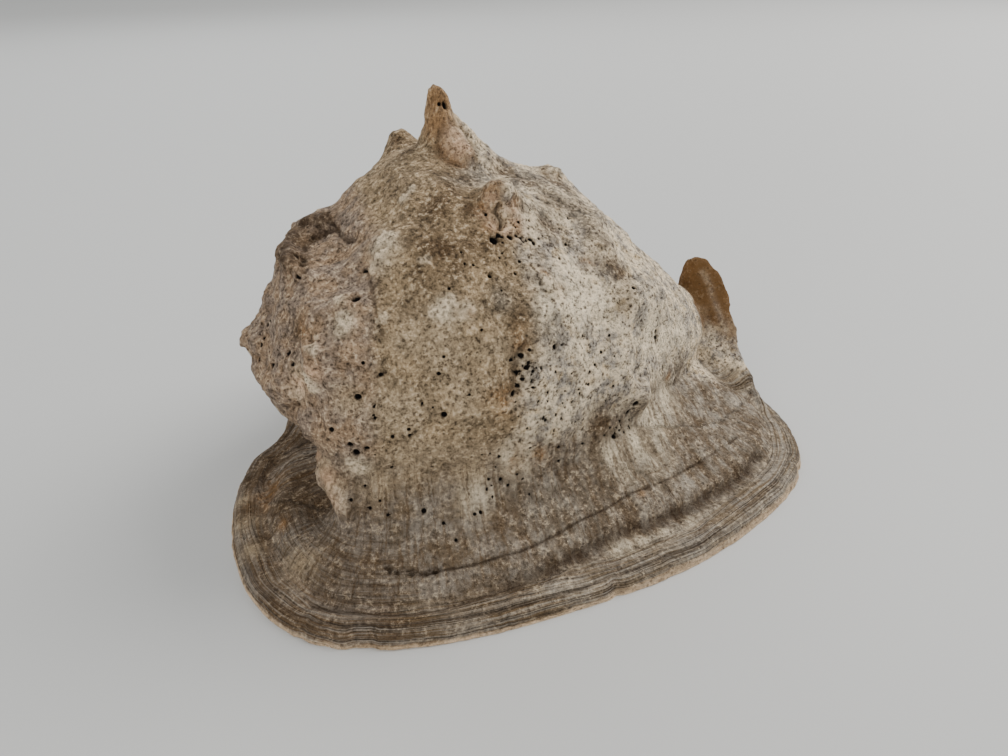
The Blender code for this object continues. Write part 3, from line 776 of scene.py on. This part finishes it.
# Stains, and painted shadow: the spots on the left brim under the whorl's overhanging back edge and those in
# the hollow below the flank's crest stand for shade.
STAIN_AND_SHADE_SPOTS = [
    (555, 200, 9), (575, 208, 8), (530, 182, 9), (545, 222, 9), (520, 200, 6), (556, 176, 7), (612, 262, 6),
    (620, 274, 6), (626, 290, 4), (600, 425, 8), (500, 172, 9), (590, 225, 6), (472, 150, 4), (460, 180, 8),
    (448, 190, 7), (545, 170, 6), (566, 173, 6), (582, 206, 6), (300, 480, 12), (322, 500, 8),
    (280, 510, 10), (262, 470, 8), (300, 440, 8), (556, 181, 8), (570, 190, 6), (291, 236, 5),
    (286, 250, 5), (305, 224, 5), (322, 219, 5), (250, 480, 7), (248, 510, 6), (262, 540, 5), (245, 455, 6),
    (622, 300, 5), (600, 240, 7), (295, 240, 7), (293, 260, 6), (285, 440, 8), (440, 250, 12),
    (480, 240, 9), (295, 330, 5), (520, 320, 5), (500, 520, 7), (440, 205, 9), (470, 205, 9), (300, 500, 9),
    (270, 460, 9), (398, 140, 6), (404, 152, 5), (391, 152, 5), (275, 488, 7), (600, 500, 9)
]
PALE_SPOTS = [
    (575, 300, 10), (600, 300, 7), (665, 340, 9), (680, 330, 7), (655, 425, 9), (560, 290, 7),
    (605, 318, 5), (575, 270, 5), (650, 455, 8), (625, 470, 6), (343, 322, 4), (357, 466, 4), (338, 500, 3),
    (306, 378, 4), (522, 460, 5), (480, 500, 7), (616, 550, 3.5), (628, 546, 3.5), (641, 541, 3),
    (662, 533, 2.5), (690, 521, 2.5), (650, 430, 9), (652, 416, 8), (515, 465, 5), (508, 455, 4),
    (300, 390, 4), (580, 300, 9), (650, 330, 8), (665, 400, 8), (640, 440, 9), (610, 455, 7), (380, 250, 6),
    (445, 309, 4), (465, 312, 3), (545, 310, 5)
]
TAN_SPOTS = [
    (420, 460, 13), (400, 415, 11), (440, 350, 11), (490, 350, 8), (460, 400, 10), (470, 470, 9),
    (380, 480, 8), (350, 400, 6), (410, 340, 7), (300, 375, 5), (330, 485, 5), (320, 468, 5), (245, 520, 6),
    (243, 500, 4), (252, 548, 5), (300, 562, 7)
]
RETICLE_SPOTS = [(688, 436, 10), (704, 425, 6), (672, 452, 8), (652, 468, 8), (630, 480, 7)]
RAMP_BORDER = [
    (468, 172), (500, 215), (526, 250), (540, 290), (533, 335), (525, 380), (519, 430), (514, 470),
    (508, 500)
]
SPIRE_BORDER = [(384, 246), (373, 290), (372, 340), (376, 395), (378, 440), (372, 490)]

print(len(STAIN_AND_SHADE_SPOTS), "stains,", len(PALE_SPOTS), "pale places")

# %% [markdown]
# ## Masks for the colours
# The material needs to know what each place is: horn, canal, lip, flake, hole. Those are stored on the
# vertices as named values between 0 and 1, so the colours turn with the shell and stay where the forms
# are. The two distances in millimetres are stored the same way, for bands and wrinkles.

# %% Masks
EDGE_LINE = 1.1
EDGE_LINE_GROWTH = 1.9
CAMERA_REACH = 200.0
SPOT_LIMIT = 0.15
PATCH_LEVELS = (0.15, 0.5)
FOOT_FADE = (-9.0, 7.0)
# Dark lines and painted shade: crack, crack_mouth, knob_crack, stop_line, fine_line and scar_rim are dark
# lines in the shell; suture, ledge, trough_line, varix_shade, ramp_edge, pocket_edge and flake_edge are
# painted shade along grooves, under steps and round raised places.
DARK_SHARES = {
    "crack": 1.0, "crack_mouth": 1.0, "suture": 1.0, "knob_crack": 1.0, "ledge": 0.9, "trough_line": 0.85,
    "stop_line": 0.8, "varix_shade": 0.75, "ramp_edge": 0.7, "pocket_edge": 0.7, "scar_rim": 0.7,
    "fine_line": 0.6, "flake_edge": 0.55}

uneven = field(7.0, 3, 70.0)
# Darker where the wrinkles go in.
groove = wrinkled * np.clip(-3.0 * wrinkles - coarse_wrinkles, 0.0, 1.0)
groove *= 0.35 + 0.65 * step(-40.0, 10.0, x)
facing = (normals * (np.array(CAMERA_PLACE) - places)).sum(axis=1) / CAMERA_REACH
hidden_side = step(0.1, -0.3, facing) * step(16.0, 24.0, z)
pale = np.maximum(spots(PALE_SPOTS), hidden_side * step(*PATCH_LEVELS, field(15.0, 3, 81.0)))
# Stains and painted shadow, with random stains on the sides the camera does not see.
stain_and_shade = np.maximum(spots(STAIN_AND_SHADE_SPOTS), hidden_side * step(*PATCH_LEVELS, field(17.0, 3, 92.0)))
orange_spots = spots(ORANGE_SPOTS)
orange = np.clip(orange_spots + 0.25 * uneven, 0.0, 1.0) * (orange_spots > SPOT_LIMIT)
foot = drop(BROWN_FOOT).z
brown = step(78.0, 82.0, x) * step(*FOOT_FADE, z + 5.0 * uneven - foot)
brown *= 1.0 - 0.35 * near_line(CANAL_RIDGE, 1.3)
flank = step(0.25, 0.75, beyond_line(RAMP_BORDER, 14.0) + 0.3 * uneven)
spire_side = 1.0 - beyond_line(SPIRE_BORDER, 3.0)
chalk = np.maximum.reduce([0.9 * flake, 0.85 * near_line(PALE_LINE, 1.7), 0.6 * near_line(PALE_CREST, 2.4)])
# Mask of the dark lines, with painted shade along the sutures, ledges, trough, varix, pocket and flake
# edges.
dark_line_and_shade = np.maximum.reduce([share * marks[name] for name, share in DARK_SHARES.items()])
edge_width = EDGE_LINE + EDGE_LINE_GROWTH * step(-30.0, 30.0, x) + 0.6 * np.clip(nibble, -1.0, 1.0)
edge_light = 0.6 * step(edge_width + 0.8, edge_width - 0.4, rim_distance + z)
edge_light += 0.4 * step(1.5, 0.6, rim_distance + z)

mesh_data = bpy.data.meshes.new("weathered_helmet_shell")
bmesh.ops.scale(skin, vec=(MM,) * 3, verts=skin.verts)
for face in skin.faces:
    inside = all(vertex[sky_layer] < OUTSIDE_SHARE for vertex in face.verts)
    if inside or face.calc_center_median().z < FLAT_TOP * MM:
        face.material_index = 1
skin.to_mesh(mesh_data)
skin.free()

MASKS = {
    "orange": orange, "brown": brown, "flank": flank, "spire_side": spire_side, "chalk": chalk,
    "grey": spots(GREY_SPOTS), "stain_and_shade": stain_and_shade, "pale": pale, "pink": spots(PINK_SPOTS),
    "tan": spots(TAN_SPOTS), "reticle": spots(RETICLE_SPOTS), "rust": spots(RUST_SPOTS),
    "dark_line_and_shade": dark_line_and_shade, "edge_light": edge_light, "groove": groove, "hole": hole, "lip": lip,
    "low": wrinkled, "ripple": ripple, "along": along_rim}
for name, values in MASKS.items():
    attribute = mesh_data.attributes.new(name, "FLOAT", "POINT")
    attribute.data.foreach_set("value", np.asarray(values, dtype=np.float32))
mesh_data.shade_smooth()
shell = in_scene("weathered_helmet_shell", mesh_data)
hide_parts(SHELL_NODE)
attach(shell, "root")
print("skin:", len(mesh_data.polygons), "faces,", len(MASKS), "masks")

# %% [markdown]
# ## Helpers for materials
# A node material is a small drawing of boxes and wires. These helpers keep each box to one line, so
# the recipe of a colour can be read down the page.

# %% Node helpers


class Recipe:
    """Builds nodes in one tree, each placed to the right of the last."""

    def __init__(self, tree):
        self.tree = tree
        self.column = 0

    def add(self, kind, inputs=None, **settings):
        made = self.tree.nodes.new(kind)
        made.location = (self.column * 180, (self.column % 5) * -160)
        self.column += 1
        for name, value in settings.items():
            setattr(made, name, value)
        for name, value in (inputs or {}).items():
            self.feed(made.inputs[name], value)
        return made

    def feed(self, socket, value):
        if isinstance(value, bpy.types.NodeSocket):
            self.tree.links.new(value, socket)
        else:
            socket.default_value = value

    def mix(self, share, first, second, blend="MIX"):
        made = self.add("ShaderNodeMix", data_type="RGBA", blend_type=blend)
        for index, value in ((0, share), (6, first), (7, second)):
            self.feed(made.inputs[index], value)
        return made.outputs[2]

    def math(self, operation, first, second=0.0):
        return self.add("ShaderNodeMath", {0: first, 1: second}, operation=operation).outputs[0]

    def times(self, first, second):
        return self.math("MULTIPLY", first, second)

    def lay(self, colour, name, share, top):
        """A colour with another laid over it, as far as a mask and a share let it show."""
        return self.mix(self.times(self.mask(name), share), colour, top)

    def span(self, value, low, high, to_low=0.0, to_high=1.0):
        made = self.add("ShaderNodeMapRange", {"Value": value, "From Min": low, "From Max": high,
                                               "To Min": to_low, "To Max": to_high})
        return made.outputs["Result"]

    def mask(self, name):
        return self.add("ShaderNodeAttribute", attribute_name=name).outputs["Fac"]

    def noise(self, vector, scale, detail=4.0, roughness=0.6):
        made = self.add("ShaderNodeTexNoise", {"Vector": vector, "Scale": scale, "Detail": detail,
                                               "Roughness": roughness})
        return made.outputs["Fac"]

    def combine(self, first, second, third=0.0):
        return self.add("ShaderNodeCombineXYZ", {"X": first, "Y": second, "Z": third}).outputs["Vector"]

    def millimetres(self):
        """Object coordinates scaled so that one unit is a millimetre."""
        place = self.add("ShaderNodeTexCoord").outputs["Object"]
        made = self.add("ShaderNodeVectorMath", {0: place, "Scale": 1.0 / MM}, operation="SCALE")
        return made.outputs["Vector"]


def new_group(name, inputs, outputs):
    """Node group with the named sockets, and the recipe and end nodes to fill it."""
    group = bpy.data.node_groups.new(name, "ShaderNodeTree")
    for title, kind in inputs:
        group.interface.new_socket(title, in_out="INPUT", socket_type=kind)
    for title, kind in outputs:
        group.interface.new_socket(title, in_out="OUTPUT", socket_type=kind)
    recipe = Recipe(group)
    return recipe, recipe.add("NodeGroupInput"), recipe.add("NodeGroupOutput")


def use_group(recipe, group, inputs):
    return recipe.add("ShaderNodeGroup", inputs, node_tree=group)


def new_material(name):
    """Material with nodes, the recipe to fill it and its shader."""
    made = bpy.data.materials.new(name)
    made.use_nodes = True
    return made, Recipe(made.node_tree), made.node_tree.nodes["Principled BSDF"]


def paint(red, green, blue):
    """Colour as it is seen, 0 to 255, turned to the linear values that nodes use."""
    return tuple((value / 255.0) ** 2.2 for value in (red, green, blue)) + (1.0,)


print("helpers ready")

# %% [markdown]
# ## Grain of old shell
# Close up, weathered shell is peppered with dark grit in its pores and pale flecks of fresh lime. The
# same grain shows on the back and, more faintly, on the belly, so it is one node group that both
# materials use. It gives a brightness, a dark mask, a light mask, a slow cloud and a height.

# %% Grain group
FINE_SCALE = 0.75
MEDIUM_SCALE = 0.30
CLOUD_SCALE = 0.055
PORE_SCALE = 0.62
PORE_EDGE = (0.34, 0.16)
GRAIN_LEVELS = (0.36, 0.64)
FINE_SHADE = (0.50, 1.42)
MEDIUM_SHADE = (-0.32, 0.32)

grain_recipe, grain_in, grain_out = new_group(
    "shell_grain", [("Vector", "NodeSocketVector")],
    [(title, "NodeSocketFloat") for title in ("Shade", "Dark", "Light", "Cloud", "Height")])
vector = grain_in.outputs["Vector"]
fine = grain_recipe.noise(vector, FINE_SCALE, 3.0, 0.75)
medium = grain_recipe.noise(vector, MEDIUM_SCALE, 4.0, 0.65)
pores = grain_recipe.add("ShaderNodeTexVoronoi", {"Vector": vector, "Scale": PORE_SCALE, "Randomness": 1.0})
pore_mask = grain_recipe.span(pores.outputs["Distance"], *PORE_EDGE)
pore_mask = grain_recipe.times(pore_mask, grain_recipe.span(medium, 0.47, 0.56))
relief = grain_recipe.math("ADD", fine, medium)
grain_values = {
    "Shade": grain_recipe.math("ADD", grain_recipe.span(fine, *GRAIN_LEVELS, *FINE_SHADE),
                               grain_recipe.span(medium, *GRAIN_LEVELS, *MEDIUM_SHADE)),
    "Dark": grain_recipe.math("MAXIMUM", pore_mask, grain_recipe.span(fine, 0.42, 0.34)),
    "Light": grain_recipe.times(grain_recipe.span(fine, 0.53, 0.63), grain_recipe.span(medium, 0.44, 0.56)),
    "Cloud": grain_recipe.noise(vector, CLOUD_SCALE, 3.0, 0.6),
    "Height": grain_recipe.math("SUBTRACT", relief, grain_recipe.times(pore_mask, 0.5))}
for title, value in grain_values.items():
    grain_recipe.feed(grain_out.inputs[title], value)
print("grain group:", len(grain_recipe.tree.nodes), "nodes")

# %% [markdown]
# ## The weathered back
# The ramp behind the knobs is a brownish tan, and the flank towards the canal has bleached to cream
# and grey. Growth bands on the lip alternate brown and grey, with a dark line here and there, and the
# very edge is a thin peach line. Each region is two colours that a slow noise mixes in patches, and the
# masks lay the regions over each other.

# %% Region colours
RAMP_TAN = paint(168, 144, 112)
RAMP_GREY = paint(136, 117, 92)
SPIRE_TAN = paint(160, 134, 108)
SPIRE_GREY = paint(146, 128, 112)
FLANK_CREAM = paint(234, 214, 184)
FLANK_GREY = paint(158, 149, 138)
PALE_CREAM = paint(245, 226, 195)
WARM_TAN = paint(184, 162, 132)
LOW_GREY = paint(142, 134, 124)
LOW_BROWN = paint(112, 97, 80)
LIP_BROWN = paint(92, 73, 52)
LIP_GREY = paint(153, 143, 130)
LINE_DARK = paint(62, 50, 38)
EDGE_PEACH = paint(226, 194, 158)
HORN_ORANGE = paint(184, 144, 102)
HORN_DARK = paint(112, 84, 58)
RUST_ORANGE = paint(146, 108, 68)
FLANK_YELLOW = paint(196, 166, 118)
SCAR_PINK = paint(212, 175, 142)
CANAL_BROWN = paint(118, 88, 56)
LIME_WHITE = paint(232, 210, 178)
SLATE_GREY = paint(126, 116, 102)
DIRT_AND_SHADE_BROWN = paint(92, 72, 50)
# Dark grit, also used as painted shade along grooves, under ledges and round flakes.
GRIT_AND_SHADE_DARK = paint(60, 46, 34)
# Near black, painted shade inside the bored holes.
HOLE_SHADE_BLACK = paint(20, 15, 11)

PATCH_SCALE = 0.14
STAIN_SCALE = 0.22
BAND_SCALE = 0.75
GROWTH_SCALE = 0.5
DRIFT_SCALE = 0.07
REGION_SHARE = 0.85

back, recipe, shader = new_material("weathered_back")
vector = recipe.millimetres()
grain_node = use_group(recipe, grain_recipe.tree, {"Vector": vector})
shade, dark, light, height = (grain_node.outputs[name] for name in ("Shade", "Dark", "Light", "Height"))
patches = recipe.noise(vector, PATCH_SCALE, 4.0, 0.6)
stain_patches = recipe.noise(vector, STAIN_SCALE, 3.0, 0.6)

ramp = recipe.mix(recipe.span(patches, 0.40, 0.60), RAMP_TAN, RAMP_GREY)
spire = recipe.mix(recipe.span(patches, 0.42, 0.58), SPIRE_TAN, SPIRE_GREY)
cream = recipe.mix(recipe.span(patches, 0.44, 0.57), FLANK_CREAM, FLANK_GREY)
cream = recipe.mix(recipe.span(stain_patches, 0.54, 0.68, 0.0, 0.5), cream, FLANK_YELLOW)
cream = recipe.mix(recipe.span(stain_patches, 0.46, 0.34, 0.0, 0.5), cream, LIME_WHITE)
low = recipe.mix(recipe.span(patches, 0.40, 0.58), LOW_GREY, LOW_BROWN)
colour = recipe.mix(recipe.mask("flank"), ramp, cream)
colour = recipe.mix(recipe.mask("spire_side"), colour, spire)
colour = recipe.lay(colour, "low", REGION_SHARE, low)

ripple_mask, along_mask = recipe.mask("ripple"), recipe.mask("along")
bands = recipe.noise(recipe.combine(ripple_mask, recipe.times(along_mask, 0.02)), BAND_SCALE, 3.0, 0.8)
drift = recipe.math("ADD", bands, recipe.span(recipe.noise(vector, DRIFT_SCALE), 0.3, 0.7, -0.10, 0.10))
striped = recipe.mix(recipe.span(drift, 0.42, 0.60), LIP_BROWN, LIP_GREY)
colour = recipe.lay(colour, "lip", REGION_SHARE, striped)
growth_place = recipe.combine(ripple_mask, recipe.times(along_mask, 0.012), 5.0)
growth = recipe.noise(growth_place, GROWTH_SCALE, 2.0, 0.5)
growth_line = recipe.span(recipe.math("ABSOLUTE", recipe.math("SUBTRACT", growth, 0.5)), 0.03, 0.0)
growth_line = recipe.times(growth_line, recipe.mask("lip"))
colour = recipe.mix(recipe.times(growth_line, 0.7), colour, LINE_DARK)
colour = recipe.lay(colour, "edge_light", REGION_SHARE, EDGE_PEACH)
print("region colours laid")

# %% [markdown]
# ## Marks over the regions
# Smaller marks lie over the regions. Stains, bleached places and grey places are broken up by the
# patches, as wear does it. Some of the stain spots are painted shadow: those on the left brim under the
# whorl's overhanging back edge and those in the hollow below the crest of the flank. The horn, and a
# little of the second knob, are worn through to an orange layer with fibres that run up it. The canal's
# tip is stained deep brown. On the lip, the hollows of the wrinkles and threads are darkened, and near
# the canal there is a fine net of lines.

# %% Marks over the regions
FIBRE_SCALE = 0.9
FIBRE_STRETCH = (1.0, 1.0, 0.12)
NET_SCALE = 0.5
GROOVE_DARKENING = 0.7

thread_place = recipe.combine(recipe.times(along_mask, 0.55), recipe.times(ripple_mask, 0.09))
threads = recipe.noise(thread_place, 1.0, 4.0, 0.7)
nets = recipe.noise(recipe.combine(recipe.times(along_mask, 0.12), ripple_mask), NET_SCALE, 3.0, 0.7)
fibre_place = recipe.add("ShaderNodeVectorMath", {0: vector, 1: FIBRE_STRETCH}, operation="MULTIPLY")
fibres = recipe.noise(fibre_place.outputs["Vector"], FIBRE_SCALE, 4.0, 0.7)
broken = recipe.span(patches, 0.36, 0.56, 0.5, 1.0)
orange = recipe.mix(recipe.span(fibres, 0.40, 0.58), HORN_DARK, HORN_ORANGE)

# The stain mask lays real stains and painted shadow in the same brown.
for name, share, top in (("tan", 1.0, WARM_TAN), ("pale", 1.0, PALE_CREAM), ("stain_and_shade", 0.95, DIRT_AND_SHADE_BROWN),
                         ("grey", 0.8, SLATE_GREY)):
    colour = recipe.lay(colour, name, recipe.times(broken, share), top)
colour = recipe.lay(colour, "orange", 0.95, orange)
colour = recipe.lay(colour, "pink", broken, SCAR_PINK)
colour = recipe.lay(colour, "rust", recipe.span(stain_patches, 0.40, 0.60, 0.2, 0.85), RUST_ORANGE)
colour = recipe.mix(recipe.mask("brown"), colour, CANAL_BROWN)
colour = recipe.lay(colour, "chalk", recipe.times(broken, 0.8), LIME_WHITE)
# Darkening in the hollows of the wrinkles and threads on the lip, and along the net of lines near the canal.
thread_dark = recipe.times(recipe.span(threads, 0.52, 0.38), recipe.mask("low"))
thread_dark = recipe.math("MAXIMUM", thread_dark, recipe.mask("groove"))
net_dark = recipe.times(recipe.span(nets, 0.52, 0.40), recipe.mask("reticle"))
groove_dark = recipe.math("MAXIMUM", thread_dark, net_dark)
colour = recipe.mix(recipe.times(groove_dark, GROOVE_DARKENING), colour, DIRT_AND_SHADE_BROWN)
print("marks laid")

# %% [markdown]
# ## Speckle, dirt, painted shade and finish
# The speckle goes over everything, because it is the broken surface itself. It multiplies the colour,
# then the darkest pores and the lightest flecks are mixed in. Dark lines come last: the cracks and growth
# stops are dark in the shell, and the lines along the sutures, under the ledges, in the trough and round
# the varix, the pocket and the flakes are painted shade. The holes are filled with near black, which is
# painted shade. The finish is chalky, so roughness is high and only the height of the grain changes it.

# %% Speckle and finish
EVEN_SHARES = {"lip": 0.6, "orange": 0.6, "brown": 1.0, "low": 0.5}
CALM_SPECKLE = 0.15
RIDGE_LINE_DEPTH = 0.4
BUMP_DISTANCE = 0.9
CHALKY_SHINE = 0.25

even = 0.0
for name, share in EVEN_SHARES.items():
    even = recipe.math("MAXIMUM", recipe.times(recipe.mask(name), share), even)
speckle = recipe.span(even, 0.0, 1.0, 1.0, CALM_SPECKLE)
colour = recipe.mix(speckle, colour, recipe.combine(shade, shade, shade), "MULTIPLY")
loud = recipe.times(speckle, recipe.span(recipe.mask("flank"), 0.0, 1.0, 0.6, 0.8))
colour = recipe.mix(recipe.times(dark, loud), colour, GRIT_AND_SHADE_DARK)
colour = recipe.mix(recipe.times(light, loud), colour, LIME_WHITE)
# Dark lines of cracks and growth stops, and painted shade along sutures, ledges, trough, varix, pocket and
# flake edges.
colour = recipe.lay(colour, "dark_line_and_shade", 0.8, GRIT_AND_SHADE_DARK)
# Near black in the bored holes, painted shade for their depth.
colour = recipe.mix(recipe.span(recipe.mask("hole"), 0.2, 0.6), colour, HOLE_SHADE_BLACK)
recipe.feed(shader.inputs["Base Color"], colour)
recipe.feed(shader.inputs["Roughness"], recipe.span(height, 0.6, 1.4, 0.95, 0.78))
carved = height
for value, name, share in ((threads, "low", 0.8), (fibres, "orange", 1.2), (bands, "lip", 0.8)):
    carved = recipe.math("ADD", carved, recipe.times(recipe.times(value, recipe.mask(name)), share))
carved = recipe.math("SUBTRACT", carved, recipe.times(growth_line, RIDGE_LINE_DEPTH))
bump = recipe.add("ShaderNodeBump", {"Height": carved, "Strength": 1.0, "Distance": BUMP_DISTANCE * MM})
recipe.feed(shader.inputs["Normal"], bump.outputs["Normal"])
shader.inputs["Specular IOR Level"].default_value = CHALKY_SHINE
print("weathered back:", len(back.node_tree.nodes), "nodes")

# %% [markdown]
# ## The dull enamel of the underside
# The face that the animal lay on was once glossy. It is peach near the mouth and cream towards the
# rim, scuffed dull where the shell has been slid about on tables, with brown showing between the teeth.

# %% Dull enamel
ENAMEL_CREAM = paint(214, 190, 160)
ENAMEL_PEACH = paint(200, 152, 112)
ENAMEL_BROWN = paint(120, 82, 54)
PEACH_DEPTHS = (8.0, 45.0)
BLOTCH_SCALE = 0.045
ENAMEL_GRIT = 0.3
ENAMEL_BUMP = 0.2

enamel, recipe, shader = new_material("dull_enamel")
vector = recipe.millimetres()
grain_node = use_group(recipe, grain_recipe.tree, {"Vector": vector})
colour = recipe.mix(recipe.span(recipe.mask("ripple"), *PEACH_DEPTHS), ENAMEL_CREAM, ENAMEL_PEACH)
blotch = recipe.span(recipe.noise(vector, BLOTCH_SCALE), 0.52, 0.72, 0.0, 0.5)
colour = recipe.mix(blotch, colour, ENAMEL_BROWN)
colour = recipe.mix(recipe.times(grain_node.outputs["Dark"], ENAMEL_GRIT), colour, GRIT_AND_SHADE_DARK)
recipe.feed(shader.inputs["Base Color"], colour)
recipe.feed(shader.inputs["Roughness"], recipe.span(grain_node.outputs["Cloud"], 0.35, 0.65, 0.38, 0.62))
bump = recipe.add("ShaderNodeBump", {"Height": grain_node.outputs["Height"], "Strength": ENAMEL_BUMP,
                                     "Distance": ENAMEL_BUMP * MM})
recipe.feed(shader.inputs["Normal"], bump.outputs["Normal"])
print("dull enamel:", len(enamel.node_tree.nodes), "nodes")

shell.data.materials.append(back)
shell.data.materials.append(enamel)

# %% [markdown]
# ## Floor and light
# The shell lies on a plain pale floor. The light is big and soft and comes from the right and a little
# from behind, with a weak fill from the front, so shadows fall softly to the left.

# %% Stage
FLOOR_SIZE = 14.0
FLOOR_GREY = (0.62, 0.62, 0.61, 1.0)
FLOOR_ROUGHNESS = 0.6
SHELL_MIDDLE = Vector((0.0, 0.0, 0.05))
ROOM_GREY = (0.86, 0.88, 0.88, 1.0)
ROOM_STRENGTH = 0.6
LIGHTS = {
    "window_right": ((1.9, 0.5, 1.7), 1.8, 60.0, (1.0, 0.98, 0.95)),
    "window_back": ((-0.1, 1.2, 0.9), 1.0, 5.0, (0.95, 0.98, 1.0)),
    "room_fill": ((-0.8, -0.9, 0.9), 1.4, 8.0, (1.0, 0.97, 0.93))}

floor_mesh = bmesh.new()
bmesh.ops.create_grid(floor_mesh, x_segments=1, y_segments=1, size=FLOOR_SIZE / 2)
floor_data = bpy.data.meshes.new("pale_table")
floor_mesh.to_mesh(floor_data)
floor_mesh.free()
floor = in_scene("pale_table", floor_data)
table_paint, _, table_shader = new_material("pale_table_paint")
table_shader.inputs["Base Color"].default_value = FLOOR_GREY
table_shader.inputs["Roughness"].default_value = FLOOR_ROUGHNESS
floor_data.materials.append(table_paint)


def window(name, place, size, power, colour):
    """Square area light that faces the shell."""
    data = bpy.data.lights.new(name, "AREA")
    data.size = size
    data.energy = power
    data.color = colour
    lamp = in_scene(name, data)
    lamp.location = place
    lamp.rotation_euler = (SHELL_MIDDLE - Vector(place)).to_track_quat("-Z", "Y").to_euler()


for name, (place, size, power, colour) in LIGHTS.items():
    window(name, place, size, power, colour)
world = bpy.data.worlds.new("room")
world.use_nodes = True
background = world.node_tree.nodes["Background"]
background.inputs["Color"].default_value = ROOM_GREY
background.inputs["Strength"].default_value = ROOM_STRENGTH
bpy.context.scene.world = world
print(len(LIGHTS), "lights")
